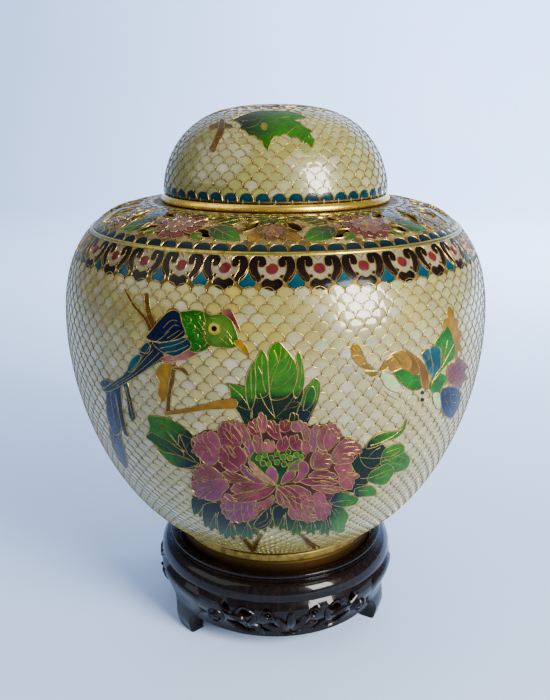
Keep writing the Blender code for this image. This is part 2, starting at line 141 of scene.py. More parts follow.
def fading(start: Glaze, end: Glaze, base: Spot, tip: Spot, power: float = 1.0) -> ToneAt:
    """Fade one enamel into another between two spots.

    Args:
        start: Enamel at the base.
        end: Enamel at the tip.
        base: Spot of the chart where it begins to change.
        tip: Spot where it has changed.
        power: Above 1 keeps the first enamel longer.

    Returns:
        A function of the chart's two coordinates.
    """
    du, dv = tip[0] - base[0], tip[1] - base[1]
    length = du * du + dv * dv or 1.0

    def tone(u: float, v: float) -> Tone:
        share = ((u - base[0]) * du + (v - base[1]) * dv) / length
        return mixed(start.value, end.value, min(max(share, 0.0), 1.0) ** power)

    return tone


def pooled(middle: Glaze, edge: Glaze, outline: Path) -> ToneAt:
    """Let one enamel pool in the middle of a cell and another lie along its edge.

    Args:
        middle: Enamel in the middle.
        edge: Enamel along the edge.
        outline: Outline of the cell.

    Returns:
        The colour of any spot.
    """
    u0, v0 = (sum(p[axis] for p in outline) / len(outline) for axis in (0, 1))
    reach = max(math.hypot(u - u0, v - v0) for u, v in outline) * 0.9
    return lambda u, v: mixed(middle.value, edge.value, (math.hypot(u - u0, v - v0) / reach) ** 1.4)


def banded(upper: Glaze, lower: Glaze, edge: float, soft: float) -> ToneAt:
    """Change from one enamel to another across a level of the picture."""
    return lambda u, v: mixed(upper.value, lower.value, (v - edge + soft) / (2 * soft))


def smoothed(points: Sequence[Spot], steps: int = 5, closed: bool = False) -> Path:
    """Run a smooth curve through a few points.

    Args:
        points: Points that the curve passes.
        steps: New points for each stretch.
        closed: True joins the last point to the first.

    Returns:
        The points of the curve.
    """
    count = len(points)
    result: Path = []
    for index in range(count if closed else count - 1):
        places = range(index - 1, index + 3)
        corners = [points[p % count] if closed else points[min(max(p, 0), count - 1)] for p in places]
        for step in range(steps):
            t = step / steps
            weights = (
                -0.5 * t + t * t - 0.5 * t**3,
                1 - 2.5 * t * t + 1.5 * t**3,
                0.5 * t + 2 * t * t - 1.5 * t**3,
                -0.5 * t * t + 0.5 * t**3,
            )
            result.append(tuple(sum(w * c[axis] for w, c in zip(weights, corners)) for axis in (0, 1)))
    return result if closed else result + [tuple(points[-1])]


def placed(path: Sequence[Spot], base: Spot, angle: float = 0.0) -> Path:
    """Turn a path counter-clockwise about the origin, by degrees, and shift it to a base."""
    cos, sin = math.cos(math.radians(angle)), math.sin(math.radians(angle))
    return [(base[0] + x * cos - y * sin, base[1] + x * sin + y * cos) for x, y in path]


def within(outline: Sequence[Spot], spots: np.ndarray) -> np.ndarray:
    """Tell which spots lie inside an outline.

    Args:
        outline: Corners of a closed outline.
        spots: Array of spots, two columns.

    Returns:
        True for each spot inside.
    """
    here = np.array(outline, float)
    there = np.roll(here, 1, axis=0)
    u, v = spots[:, :1], spots[:, 1:]
    crossed = (here[:, 1] > v) != (there[:, 1] > v)
    rise = np.where(here[:, 1] == there[:, 1], 1.0, there[:, 1] - here[:, 1])
    cross = here[:, 0] + (v - here[:, 1]) * (there[:, 0] - here[:, 0]) / rise
    return (crossed & (u < cross)).sum(1) % 2 == 1


def covered(outlines: Sequence[Sequence[Spot]], spots: np.ndarray, reach: float) -> np.ndarray:
    """Tell which spots lie inside one of several outlines, at least a reach from its edge.

    Args:
        outlines: Closed outlines.
        spots: Spots to look at.
        reach: Least distance from the outline's edge.

    Returns:
        True for each covered spot.
    """
    hidden = np.zeros(len(spots), bool)
    for outline in outlines:
        corners = np.array(outline)
        near = np.nonzero(((spots > corners.min(0)) & (spots < corners.max(0))).all(1) & ~hidden)[0]
        if len(near):
            shifts = ((0, reach), (0, -reach), (reach, 0), (-reach, 0))
            hidden[near[np.all([within(outline, spots[near] + shift) for shift in shifts], axis=0)]] = True
    return hidden


def edge_distance(outline: Sequence[Spot], spots: np.ndarray) -> np.ndarray:
    """Measure how far each spot lies from an outline.

    Args:
        outline: A closed outline.
        spots: Spots to measure from.

    Returns:
        The distance of each spot.
    """
    start = np.array(outline)
    along = np.roll(start, -1, axis=0) - start
    length = np.maximum((along**2).sum(1), 1e-12)
    offset = spots[:, None, :] - start[None]
    share = np.clip((offset * along).sum(2) / length, 0, 1)
    return np.sqrt(((offset - share[..., None] * along) ** 2).sum(2)).min(1)


def leaf_outline(length: float, width: float, steps: int = 9, belly: float = 0.42) -> Path:
    """Draw a leaf from its base at the origin to its tip on +X.

    Args:
        length: Distance from base to tip.
        width: Greatest width.
        steps: Points on each side.
        belly: Share of the length where it is widest.

    Returns:
        The closed outline, counter-clockwise.
    """
    bend = math.log(0.5) / math.log(belly)
    shares = [i / steps for i in range(steps)]
    lower = [(length * i / steps, -width / 2 * math.sin(math.pi * s**bend) ** 0.85) for i, s in enumerate(shares)]
    return lower + [(length, 0.0)] + [(x, -y) for x, y in lower[:0:-1]]


def petal_outline(length: float, width: float, lobes: int) -> Path:
    """Draw a petal from its narrow base at the origin to its lobed edge on +X.

    Args:
        length: Distance from base to edge.
        width: Greatest width.
        lobes: Waves along the edge.

    Returns:
        The closed outline, counter-clockwise.
    """
    neck, depth, steps, count = 0.66, 0.06, 7, 4 * lobes
    shares = [i / steps for i in range(steps + 1)]
    side = [(length * neck * s, width / 2 * (0.10 + 0.90 * math.sin(math.pi / 2 * s) ** 1.2)) for s in shares]
    edge = []
    for i in range(1, count):
        turn = math.pi * (i / count - 0.5)
        reach = length * (1 - neck) + depth * length * math.cos(2 * lobes * turn + math.pi * (lobes + 1))
        edge.append((length * neck + reach * math.cos(turn), width / 2 * math.sin(turn)))
    return [(x, -y) for x, y in side] + edge + side[::-1]


def disc(middle: Spot, radius: float, sides: int) -> Path:
    """Draw a circle."""
    turns = [2 * math.pi * i / sides for i in range(sides)]
    return [(middle[0] + radius * math.cos(turn), middle[1] + radius * math.sin(turn)) for turn in turns]


def band_outline(path: Sequence[Spot], widths: Sequence[float]) -> Path:
    """Widen a path into a band with round ends.

    Args:
        path: Middle line of the band.
        widths: Widths along it, spread evenly.

    Returns:
        The closed outline, counter-clockwise.
    """
    count = len(path)
    left, right = [], []
    for i, (x, y) in enumerate(path):
        ahead, behind = path[min(i + 1, count - 1)], path[max(i - 1, 0)]
        dx, dy = ahead[0] - behind[0], ahead[1] - behind[1]
        length = math.hypot(dx, dy) or 1.0
        half = spread(i / (count - 1), widths) / 2
        left.append((x - dy / length * half, y + dx / length * half))
        right.append((x + dy / length * half, y - dx / length * half))

    def cap(middle: Spot, start: Spot) -> Path:
        begin = math.atan2(start[1] - middle[1], start[0] - middle[0])
        size = math.dist(start, middle)
        turns = [begin + math.pi * step / 4 for step in (1, 2, 3)]
        return [(middle[0] + size * math.cos(t), middle[1] + size * math.sin(t)) for t in turns]

    return right + cap(path[-1], right[-1]) + left[::-1] + cap(path[0], left[0])


def spread(share: float, sizes: Sequence[float]) -> float:
    """Return the size at a share of the way, where sizes are spread evenly along it."""
    return float(np.interp(share, np.linspace(0, 1, len(sizes)), sizes))


def strip(here: Sequence[int], there: Sequence[int]) -> list[tuple[int, ...]]:
    """Return the faces between two closed rings of corners."""
    count = len(here)
    return [(here[i], here[(i + 1) % count], there[(i + 1) % count], there[i]) for i in range(count)]


@dataclass
class Skin:
    """A surface turned about the jar's axis.

    Attributes:
        line: Radius and height of points on its outer line, from bottom to top.
    """

    line: Sequence[Spot]

    def __post_init__(self) -> None:
        """Measure the line once."""
        self.radii, self.heights = np.array(self.line, float).T
        steps = np.hypot(np.diff(self.radii), np.diff(self.heights))
        self.travels = np.concatenate(([0.0], np.cumsum(steps)))

    def at_height(self, height: float) -> float:
        """Return the travel along the line where it reaches a height."""
        return float(np.interp(height, self.heights, self.travels))

    def at_radius(self, radius: float) -> float:
        """Return the travel along the line's upper part where it has a radius."""
        top = int(np.argmax(self.radii))
        return float(np.interp(-radius, -self.radii[top:], self.travels[top:]))

    def radius(self, travel: float) -> float:
        """Return the radius at a travel."""
        return float(np.interp(travel, self.travels, self.radii))

    def height(self, travel: float) -> float:
        """Return the height at a travel."""
        return float(np.interp(travel, self.travels, self.heights))

    def axes(self, azimuth: float, travel: float, lift: float = 0.0) -> Axes:
        """Find a place on the surface.

        Args:
            azimuth: Degrees from the front.
            travel: Distance along the line.
            lift: Distance above the surface.

        Returns:
            The point, and the directions outwards, to the east and up the line.
        """
        reach = 0.35 * MM
        low, high = max(travel - reach, 0.0), min(travel + reach, float(self.travels[-1]))
        dr, dz = self.radius(high) - self.radius(low), self.height(high) - self.height(low)
        size = math.hypot(dr, dz) or 1.0
        dr, dz = dr / size, dz / size
        turn = math.radians(azimuth)
        away = Vector((math.sin(turn), -math.cos(turn), 0.0))
        east = Vector((math.cos(turn), math.sin(turn), 0.0))
        up = away * dr + Vector((0.0, 0.0, dz))
        out = away * dz - Vector((0.0, 0.0, dr))
        return away * self.radius(travel) + Vector((0.0, 0.0, self.height(travel))) + out * lift, out, east, up

    def section(self, travel: float, lift: float) -> Spot:
        """Return the radius and height of a place on the line, or above it."""
        point = self.axes(90.0, travel, lift)[0]
        return point.x, point.z


@dataclass
class HeightChart:
    """Reads a skin by azimuth in degrees and height in millimetres.

    Attributes:
        skin: The surface.
        floor: Height where the chart reads 0.
        turn: Azimuth where the chart reads 0.
    """

    skin: Skin
    floor: float = 0.0
    turn: float = 0.0
    downwards = False

    def find(self, u: float, v: float) -> Spot:
        """Return the azimuth and travel of a spot."""
        return self.turn + u, self.skin.at_height(self.floor + v * MM)

    def mark(self, u: float, v: float) -> Spot:
        """Return a spot as the scales see it: azimuth in degrees and travel in millimetres."""
        azimuth, travel = self.find(u, v)
        return azimuth, travel / MM

    def axes(self, u: float, v: float, lift: float = 0.0) -> Axes:
        """Return the point and directions at a spot."""
        return self.skin.axes(*self.find(u, v), lift)


@dataclass
class LocalChart(HeightChart):
    """Reads a skin in millimetres east and up from a spot of its own.

    Attributes:
        travel: Travel of the chart's origin.
    """

    travel: float = 0.0

    def find(self, u: float, v: float) -> Spot:
        """Return the azimuth and travel of a spot."""
        return self.turn + math.degrees(u * MM / self.skin.radius(self.travel)), self.travel + v * MM


@dataclass
class PlanChart(HeightChart):
    """Reads the top of a skin as seen from above, in millimetres to the right and to the back."""

    def find(self, u: float, v: float) -> Spot:
        """Return the azimuth and travel of a spot."""
        return self.turn + math.degrees(math.atan2(u, -v)), self.skin.at_radius(math.hypot(u, v) * MM)

    def mark(self, u: float, v: float) -> Spot:
        """Return the spot itself."""
        return u, v


@dataclass(frozen=True)
class View:
    """The photograph's view of the jar.

    Attributes:
        place: Where the camera stands.
        tilt: How far it looks down, in radians.
        turn: How far it turns about the vertical, in radians.
        lens: Focal length on a sensor 36 mm high.
        size: Width and height of the picture in its own points.
    """

    place: Place = (-0.00042, -0.22685, 0.15262)
    tilt: float = 0.2988
    turn: float = -0.0011
    lens: float = 40.275
    size: Spot = (550.0, 700.0)

    def angles(self) -> Euler:
        """Return the camera's turn."""
        return Euler((math.pi / 2 - self.tilt, 0.0, self.turn))

    def ray(self, u: float, v: float) -> Vector:
        """Return the direction to a point of the picture, one unit deep.

        Args:
            u: Pixels from the left.
            v: Pixels from the top.

        Returns:
            The direction.
        """
        reach = self.lens / SENSOR * self.size[1]
        width, height = self.size
        return self.angles().to_matrix() @ Vector(((u - width / 2) / reach, (height / 2 - v) / reach, -1.0))


@dataclass
class ViewChart(HeightChart):
    """Reads a skin as the camera sees it, in points of the picture, to the right and downwards.

    Attributes:
        view: The view.
    """

    view: View = View()
    downwards = True

    def find(self, u: float, v: float) -> Spot:
        """Return the azimuth and travel of a spot, or of the nearest one on the outline.

        Args:
            u: Pixels from the left.
            v: Pixels from the top.

        Returns:
            Azimuth in degrees and travel along the skin.
        """
        ray = self.view.ray(u, v)
        depths = np.linspace(0.10, 0.32, 441)
        x, y, z = (start + step * depths for start, step in zip(self.view.place, ray))
        gaps = np.hypot(x, y) - np.interp(z, self.skin.heights, self.skin.radii)
        hit = int(np.argmax(gaps < 0))
        if gaps[hit] < 0 and hit:
            share = gaps[hit - 1] / (gaps[hit - 1] - gaps[hit])
            x, y, z = (axis[hit - 1] + (axis[hit] - axis[hit - 1]) * share for axis in (x, y, z))
        else:
            hit = int(np.argmin(gaps))
            x, y, z = x[hit], y[hit], z[hit]
        return self.turn + math.degrees(math.atan2(x, -y)), self.skin.at_height(z)


class Inlay:
    """Gathers enamel cells and wire ridges into one mesh, with a colour for every point."""

    WIRE_SECTION = ((-0.5, -0.4), (-0.36, 0.6), (0.0, 1.0), (0.36, 0.6), (0.5, -0.4))

    def __init__(self) -> None:
        """Start empty."""
        self.points: list[Vector] = []
        self.tones: list[Tone] = []
        self.faces: list[tuple[int, ...]] = []

    def add(self, point: Vector, tone: Tone) -> int:
        """Add a point and return its number."""
        self.points.append(point)
        self.tones.append(tone)
        return len(self.points) - 1

    def cell(
        self, chart: HeightChart, outline: Sequence[Spot], tone: ToneAt, lift: float, crown: float = 0.0,
        spacing: float = 1.6, skirt: float = 0.3 * MM,
    ) -> None:
        """Fill an outline with enamel that follows the surface.

        Args:
            chart: Where the outline lies.
            outline: Corners of the cell.
            tone: Colour of each spot.
            lift: Height of the cell's edge above the surface.
            crown: How much higher the middle stands.
            spacing: Distance between points inside, in the chart's units.
            skirt: How far the edge turns down.
        """
        area = sum(a[0] * b[1] - b[0] * a[1] for a, b in zip(outline, list(outline[1:]) + [outline[0]]))
        loop = list(outline) if area > 0 else list(outline)[::-1]
        us, vs = [p[0] for p in loop], [p[1] for p in loop]
        row_step = 0.87
        rows = int((max(vs) - min(vs)) / (spacing * row_step)) + 1
        columns = int((max(us) - min(us)) / spacing) + 2
        seeds = np.array([
            (min(us) + (column + 0.5 * (row % 2)) * spacing, min(vs) + row * spacing * row_step)
            for row in range(1, rows + 1) for column in range(columns)
        ])
        seeds = seeds[within(loop, seeds)]
        if len(seeds):
            seeds = seeds[edge_distance(loop, seeds) > 0.3 * spacing]
        corners = [Vector(p) for p in loop + [tuple(seed) for seed in seeds]]
        found, _, triangles, *_ = delaunay_2d_cdt(corners, [], [list(range(len(loop)))], 1, 1e-5)
        spots = np.array([tuple(p) for p in found])
        share = np.clip(edge_distance(loop, spots) / (1.2 * spacing), 0, 1)
        numbers = []
        for (u, v), near in zip(spots, share):
            rise = lift + crown * math.sin(math.pi / 2 * near)
            numbers.append(self.add(chart.axes(u, v, rise)[0], tone(u, v)))
        sides: dict[tuple[int, int], None] = {}
        for triangle in triangles:
            ends = tuple(triangle)[::-1] if chart.downwards else tuple(triangle)
            self.faces.append(tuple(numbers[i] for i in ends))
            sides.update(dict.fromkeys(zip(ends, ends[1:] + ends[:1])))
        low: dict[int, int] = {}
        for a, b in sides:
            if (b, a) in sides:
                continue
            for i in (a, b):
                if i not in low:
                    low[i] = self.add(chart.axes(*spots[i], lift - skirt)[0], tone(*spots[i]))
            self.faces.append((numbers[b], numbers[a], low[a], low[b]))

    def ridge(
        self, chart: HeightChart, path: Sequence[Spot], width: float, rise: float, lift: float | Sequence[float] = 0.0,
        closed: bool = False, sizes: Sequence[float] = (1.0,),
    ) -> None:
        """Lay a rounded wire along a path.

        Args:
            chart: Where the path lies.
            path: Points of the path.
            width: Width of the wire.
            rise: How far it stands above its seat.
            lift: Height of the seat above the surface, one for all points or one for each.
            closed: True joins the last point to the first.
            sizes: Shares of the width and rise along the path, spread evenly.
        """
        lifts = [lift] * len(path) if isinstance(lift, float) else lift
        places = [chart.axes(u, v, seat) for (u, v), seat in zip(path, lifts)]
        count = len(places)
        rings = []
        for i, (point, out, _, _) in enumerate(places):
            ahead = places[(i + 1) % count if closed else min(i + 1, count - 1)][0]
            behind = places[(i - 1) % count if closed else max(i - 1, 0)][0]
            side = (ahead - behind).normalized().cross(out).normalized()
            size = spread(i / max(count - 1, 1), sizes)
            section = [point + side * (x * width * size) + out * (y * rise * size) for x, y in self.WIRE_SECTION]
            rings.append([self.add(corner, Glaze.GOLD.value) for corner in section])
        for here, there in zip(rings, rings[1:] + (rings[:1] if closed else [])):
            self.faces += strip(here, there)
        if not closed:
            self.faces += [tuple(rings[0][::-1]), tuple(rings[-1])]

    def piece(self, name: str, material: bpy.types.Material | None = None) -> bpy.types.Object:
        """Turn what was gathered into an object."""
        return mesh_piece(name, self.points, self.faces, material, self.tones)


def shown(name: str, mesh: bpy.types.Mesh, sharp: float = 40.0) -> bpy.types.Object:
    """Shade a mesh smooth, but not across edges past an angle in degrees, and link it as an object."""
    mesh.shade_smooth()
    mesh.set_sharp_from_angle(angle=math.radians(sharp))
    return linked(name, mesh)


def linked(name: str, data: bpy.types.ID) -> bpy.types.Object:
    """Make an object of some data and link it to the scene."""
    made = bpy.data.objects.new(name, data)
    bpy.context.scene.collection.objects.link(made)
    return made


def mesh_piece(
    name: str, points: Sequence[Vector], faces: Sequence[Sequence[int]], material: bpy.types.Material | None = None,
    tones: Sequence[Tone] | None = None, sharp: float = 40.0,
) -> bpy.types.Object:
    """Make an object from points and faces.

    Args:
        name: Name of the piece.
        points: Corners.
        faces: Corner numbers of each face.
        material: Finish.
        tones: Enamel colour of each corner.
        sharp: Angle in degrees past which an edge stays sharp.

    Returns:
        The new object, linked to the scene.
    """
    mesh = bpy.data.meshes.new(name)
    mesh.from_pydata([tuple(p) for p in points], [], [tuple(f) for f in faces])
    if tones is not None:
        colours = mesh.color_attributes.new(GLAZE, "FLOAT_COLOR", "POINT")
        colours.data.foreach_set("color", np.insert(np.array(tones, np.float32), 3, 1.0, axis=1).ravel())
    if material is not None:
        mesh.materials.append(material)
    return shown(name, mesh, sharp)


def turned(name: str, profile: Path, sides: int, material: bpy.types.Material, sharp: float = 40.0) -> bpy.types.Object:
    """Turn a closed profile about the axis.

    Args:
        name: Name of the piece.
        profile: Radius and height of the profile's corners. Corners on the axis become poles.
        sides: Sides of the turned piece.
        material: Finish.
        sharp: Angle past which an edge stays sharp.

    Returns:
        The new object.
    """
    shape = bmesh.new()
    turns = [2 * math.pi * i / sides for i in range(sides)]
    rings = []
    for radius, height in profile:
        if radius < 1e-7:
            rings.append([shape.verts.new((0.0, 0.0, height))] * sides)
        else:
            rings.append([shape.verts.new((radius * math.sin(t), -radius * math.cos(t), height)) for t in turns])
    for here, there in zip(rings, rings[1:] + rings[:1]):
        if here[0] is not here[1] or there[0] is not there[1]:
            for corners in strip(here, there):
                shape.faces.new(list(dict.fromkeys(corners)))
    bmesh.ops.recalc_face_normals(shape, faces=shape.faces)
    mesh = bpy.data.meshes.new(name)
    shape.to_mesh(mesh)
    shape.free()
    mesh.materials.append(material)
    return shown(name, mesh, sharp)


def applied(piece: bpy.types.Object) -> bpy.types.Mesh:
    """Return the mesh that a piece has with its modifiers."""
    bpy.context.view_layer.update()
    graph = bpy.context.evaluated_depsgraph_get()
    return bpy.data.meshes.new_from_object(piece.evaluated_get(graph), preserve_all_data_layers=True, depsgraph=graph)


def cut(
    piece: bpy.types.Object, holes: Iterable[tuple[HeightChart, Path]], low: float, high: float,
) -> bpy.types.Object:
    """Cut openings through a piece.

    Args:
        piece: The piece.
        holes: Chart and outline of each opening.
        low: Height above the surface where the cut begins.
        high: Height where it ends.

    Returns:
        The piece with its new mesh.
    """
    points: list[Vector] = []
    faces: list[tuple[int, ...]] = []
    for chart, outline in holes:
        first, count = len(points), len(outline)
        points += [chart.axes(u, v, lift)[0] for lift in (low, high) for u, v in outline]
        lower, upper = range(first, first + count), range(first + count, first + 2 * count)
        faces += [tuple(reversed(lower)), tuple(upper), *strip(lower, upper)]
    cutter = mesh_piece("opening_cutter", points, faces)
    boolean = piece.modifiers.new("cut", "BOOLEAN")
    boolean.operation = "DIFFERENCE"
    boolean.object = cutter
    boolean.solver = "EXACT"
    boolean.use_self = True
    mesh = applied(piece)
    material = piece.data.materials[0]
    piece.modifiers.remove(boolean)
    piece.data = mesh
    mesh.materials.clear()
    mesh.materials.append(material)
    mesh.shade_smooth()
    mesh.set_sharp_from_angle(angle=math.radians(38))
    bpy.data.objects.remove(cutter, do_unlink=True)
    return piece


class Sheet:
    """Adds nodes to a tree in few words."""

    def __init__(self, tree: bpy.types.NodeTree) -> None:
        """Work on a tree."""
        self.tree = tree

    def feed(self, node: bpy.types.Node, feeds: dict) -> None:
        """Give inputs of a node, by name or number, a value or an output socket each.

        Args:
            node: The node.
            feeds: Values or output sockets.
        """
        for key, value in feeds.items():
            if isinstance(value, bpy.types.NodeSocket):
                self.tree.links.new(value, node.inputs[key])
            else:
                node.inputs[key].default_value = value

    def add(
        self, kind: str, feeds: dict | None = None, output: int | str = 0, **settings: object,
    ) -> bpy.types.NodeSocket:
        """Add a node.

        Args:
            kind: Blender's name for the node.
            feeds: Value or output socket for each input, by name or number.
            output: Name or number of the output that is wanted.
            settings: Properties of the node.

        Returns:
            The wanted output socket.
        """
        node = self.tree.nodes.new(kind)
        for name, value in settings.items():
            setattr(node, name, value)
        self.feed(node, feeds or {})
        return node.outputs[output]

    def math(self, operation: str, *values: object) -> bpy.types.NodeSocket:
        """Add a Math node."""
        return self.add("ShaderNodeMath", dict(enumerate(values)), operation=operation)

    def mix(self, share: object, first: object, second: object, mode: str = "MIX") -> bpy.types.NodeSocket:
        """Add a colour mix."""
        return self.add("ShaderNodeMix", {0: share, 6: first, 7: second}, 2, data_type="RGBA", blend_type=mode)

    def place(self) -> bpy.types.NodeSocket:
        """Add Object coordinates."""
        return self.add("ShaderNodeTexCoord", output="Object")

    def noise(self, size: float, detail: float = 3.0, stretch: tuple = (1, 1, 1)) -> bpy.types.NodeSocket:
        """Add a noise on Object coordinates with grains of a size in metres."""
        place = self.add("ShaderNodeMapping", {"Vector": self.place(), "Scale": stretch})
        return self.add("ShaderNodeTexNoise", {"Vector": place, "Scale": 1.0 / size, "Detail": detail}, "Fac")

    def attribute(self, name: str, output: str = "Fac") -> bpy.types.NodeSocket:
        """Read an attribute of the mesh."""
        return self.add("ShaderNodeAttribute", output=output, attribute_name=name)

    def ramp(self, value: object, low: float, high: float) -> bpy.types.NodeSocket:
        """Stretch a range of values to 0 and 1."""
        return self.add("ShaderNodeMapRange", {0: value, 1: low, 2: high})

    def bump(self, height: object, strength: float, distance: float) -> bpy.types.NodeSocket:
        """Add a bump."""
        return self.add("ShaderNodeBump", {"Height": height, "Strength": strength, "Distance": distance})


@dataclass(frozen=True)
class Finish:
    """What every finish has.

    Attributes:
        name: Name of the material.
        roughness: Roughness of its smooth places.
        wear: How much rougher its worn places are.
    """

    name: str
    roughness: float
    wear: float

    def material(self) -> bpy.types.Material:
        """Return the material, made at the first call.

        Returns:
            The material.
        """
        made = bpy.data.materials.get(self.name)
        if made is None:
            made = bpy.data.materials.new(self.name)
            made.use_nodes = True
            sheet = Sheet(made.node_tree)
            sheet.feed(made.node_tree.nodes["Principled BSDF"], self.feeds(sheet))
        return made

    def feeds(self, sheet: Sheet) -> dict:
        """Return what goes into the shader's inputs."""
        raise NotImplementedError


@dataclass(frozen=True)
class EnamelFinish(Finish):
    """Fired enamel that takes its colour from the glaze attribute.

    Attributes:
        mottle: How much the colour varies.
        mottle_size: Size of the patches.
        speck: How dark the pinholes are.
        coat: Weight of the glassy coat.
        shine: Strength of its own reflections.
        wave: Depth of its uneven surface.
    """

    mottle: float
    mottle_size: float
    speck: float
    coat: float
    shine: float
    wave: float = 0.08 * MM

    def feeds(self, sheet: Sheet) -> dict:
        """Return what goes into the shader's inputs.

        Args:
            sheet: The material's node tree.

        Returns:
            The shader's inputs by name.
        """
        patches = sheet.noise(self.mottle_size, 4.0)
        clouds = sheet.noise(9 * MM, 2.0)
        level = sheet.math("ADD", sheet.math("MULTIPLY", patches, 0.6), sheet.math("MULTIPLY", clouds, 0.4))
        level = sheet.math("ADD", level, sheet.math("MULTIPLY", sheet.attribute(DRIFT), 0.12))
        gain = sheet.add("ShaderNodeMapRange", {0: level, 1: 0.3, 2: 0.7, 3: 1 - self.mottle, 4: 1 + self.mottle})
        grey = sheet.add("ShaderNodeCombineXYZ", dict.fromkeys(range(3), gain))
        colour = sheet.mix(1.0, sheet.attribute(GLAZE, "Color"), grey, "MULTIPLY")
        # Olive tint along each scale's wire: partly painted shade of the raised wire, partly the enamel's own colour at
        # its edge.
        rim = sheet.math("MULTIPLY", sheet.attribute(WIRE_EDGE_SHADE), sheet.ramp(patches, 0.1, 0.8))
        colour = sheet.mix(rim, colour, (*Glaze.OLIVE.value, 1.0))
        pins = sheet.ramp(sheet.noise(0.28 * MM, 2.0), 0.66, 0.74)
        return {
            "Base Color": sheet.mix(sheet.math("MULTIPLY", pins, self.speck), colour, (0.05, 0.04, 0.02, 1.0)),
            "Roughness": sheet.math("MULTIPLY_ADD", patches, self.wear, self.roughness),
            "Normal": sheet.bump(sheet.math("ADD", patches, pins), 0.25, self.wave),
            "Coat Weight": self.coat,
            "Coat Roughness": 0.06,
            "IOR": 1.52,
            "Coat IOR": 1.5,
            "Specular IOR Level": self.shine,
        }


@dataclass(frozen=True)
class GiltFinish(Finish):
    """Gilt metal, dull with patina in its hollows; one ring is also darkened below a height as painted shade.

    Attributes:
        bright: Colour of the clean gilt.
        tarnish_and_shade: Colour of the dull places, patina and painted shade alike.
        tarnished: Share of dull places, from 0 to 1.
        shaded_below: Height under which it is dull all over, as painted shade.
    """

    bright: Tone
    tarnish_and_shade: Tone
    tarnished: float = 0.45
    shaded_below: float = 0.0

    def feeds(self, sheet: Sheet) -> dict:
        """Return what goes into the shader's inputs.

        Args:
            sheet: The material's node tree.

        Returns:
            The shader's inputs by name.
        """
        spots = sheet.noise(1.6 * MM, 5.0)
        fine = sheet.noise(0.22 * MM, 2.0)
        share = sheet.ramp(sheet.math("MULTIPLY_ADD", fine, 0.25, spots), 0.85 - self.tarnished, 0.95)
        height = sheet.add("ShaderNodeSeparateXYZ", {0: sheet.place()}, 2)
        # Below this height the gilt takes the dull colour all over: painted shade.
        share = sheet.math("MAXIMUM", share, sheet.ramp(height, self.shaded_below + 0.2 * MM, self.shaded_below - 0.3 * MM))
        return {
            "Base Color": sheet.mix(share, (*self.bright, 1.0), (*self.tarnish_and_shade, 1.0)),
            "Roughness": sheet.math("MULTIPLY_ADD", share, self.wear, self.roughness),
            "Normal": sheet.bump(sheet.math("ADD", fine, spots), 0.3, 0.05 * MM),
            "Metallic": 1.0,
        }


@dataclass(frozen=True)
class WoodFinish(Finish):
    """Dark lacquered hardwood with rubbed edges.

    Attributes:
        dark: Colour of the dark grain.
        light: Colour of the light grain.
        rubbed: Colour of the worn places.
    """

    dark: Tone = (0.0018, 0.0012, 0.0012)
    light: Tone = (0.0075, 0.0035, 0.0025)
    rubbed: Tone = (0.030, 0.009, 0.004)

    def feeds(self, sheet: Sheet) -> dict:
        """Return what goes into the shader's inputs.

        Args:
            sheet: The material's node tree.

        Returns:
            The shader's inputs by name.
        """
        grain = sheet.noise(1.3 * MM, 5.0, (1.0, 1.0, 0.18))
        dust = sheet.noise(0.5 * MM, 3.0)
        colour = sheet.mix(sheet.ramp(grain, 0.35, 0.7), (*self.dark, 1.0), (*self.light, 1.0))
        worn = sheet.math("MULTIPLY", sheet.ramp(sheet.noise(6 * MM, 3.0), 0.60, 0.78), sheet.ramp(dust, 0.45, 0.7))
        return {
            "Base Color": sheet.mix(worn, colour, (*self.rubbed, 1.0)),
            "Roughness": sheet.math("MULTIPLY_ADD", sheet.math("ADD", worn, grain), self.wear, self.roughness),
            "Normal": sheet.bump(sheet.math("ADD", grain, dust), 0.30, 0.06 * MM),
            "Specular IOR Level": 0.06,
            "Coat Weight": 0.42,
            "Coat IOR": 1.44,
            "Coat Roughness": 0.055,
        }


@dataclass(frozen=True)
class PaperFinish(Finish):
    """Pale matt paper for the floor."""

    def feeds(self, sheet: Sheet) -> dict:
        """Return what goes into the shader's inputs."""
        colour = sheet.mix(sheet.noise(0.2, 2.0), (0.50, 0.66, 0.98, 1.0), (0.56, 0.71, 1.0, 1.0))
        return {"Base Color": colour, "Roughness": self.roughness}


GROUND_ENAMEL = EnamelFinish("ground_enamel", 0.28, 0.14, 0.26, 2.6 * MM, 0.30, 0.88, 0.42, 0.16 * MM)
MOTIF_ENAMEL = EnamelFinish("motif_enamel", 0.13, 0.10, 0.42, 1.8 * MM, 0.30, 0.08, 0.08)
WIRE_GILT = GiltFinish("wire_gilt", 0.26, 0.22, (0.50, 0.37, 0.09), (0.13, 0.085, 0.018))
MOTIF_GILT = GiltFinish("motif_gilt", 0.24, 0.20, (0.42, 0.28, 0.06), (0.10, 0.055, 0.012))
RING_GILT = GiltFinish("ring_gilt", 0.24, 0.22, (0.50, 0.37, 0.06), (0.15, 0.085, 0.014), 0.38)
POLISHED_GILT = GiltFinish("polished_gilt", 0.25, 0.12, (0.96, 0.63, 0.08), (0.38, 0.21, 0.03), 0.25)
# The foot ring's gilt is dull below 28.4 mm: painted shade of the stand's well over its lower band.
SATIN_GILT = GiltFinish("satin_gilt", 0.34, 0.20, (0.36, 0.23, 0.045), (0.045, 0.022, 0.006), 0.5, 28.4 * MM)
WALL_BRASS = GiltFinish("wall_brass", 0.55, 0.20, (0.20, 0.125, 0.03), (0.05, 0.025, 0.006), 0.5)
STAND_WOOD = WoodFinish("lacquered_wood", 0.18, 0.16)


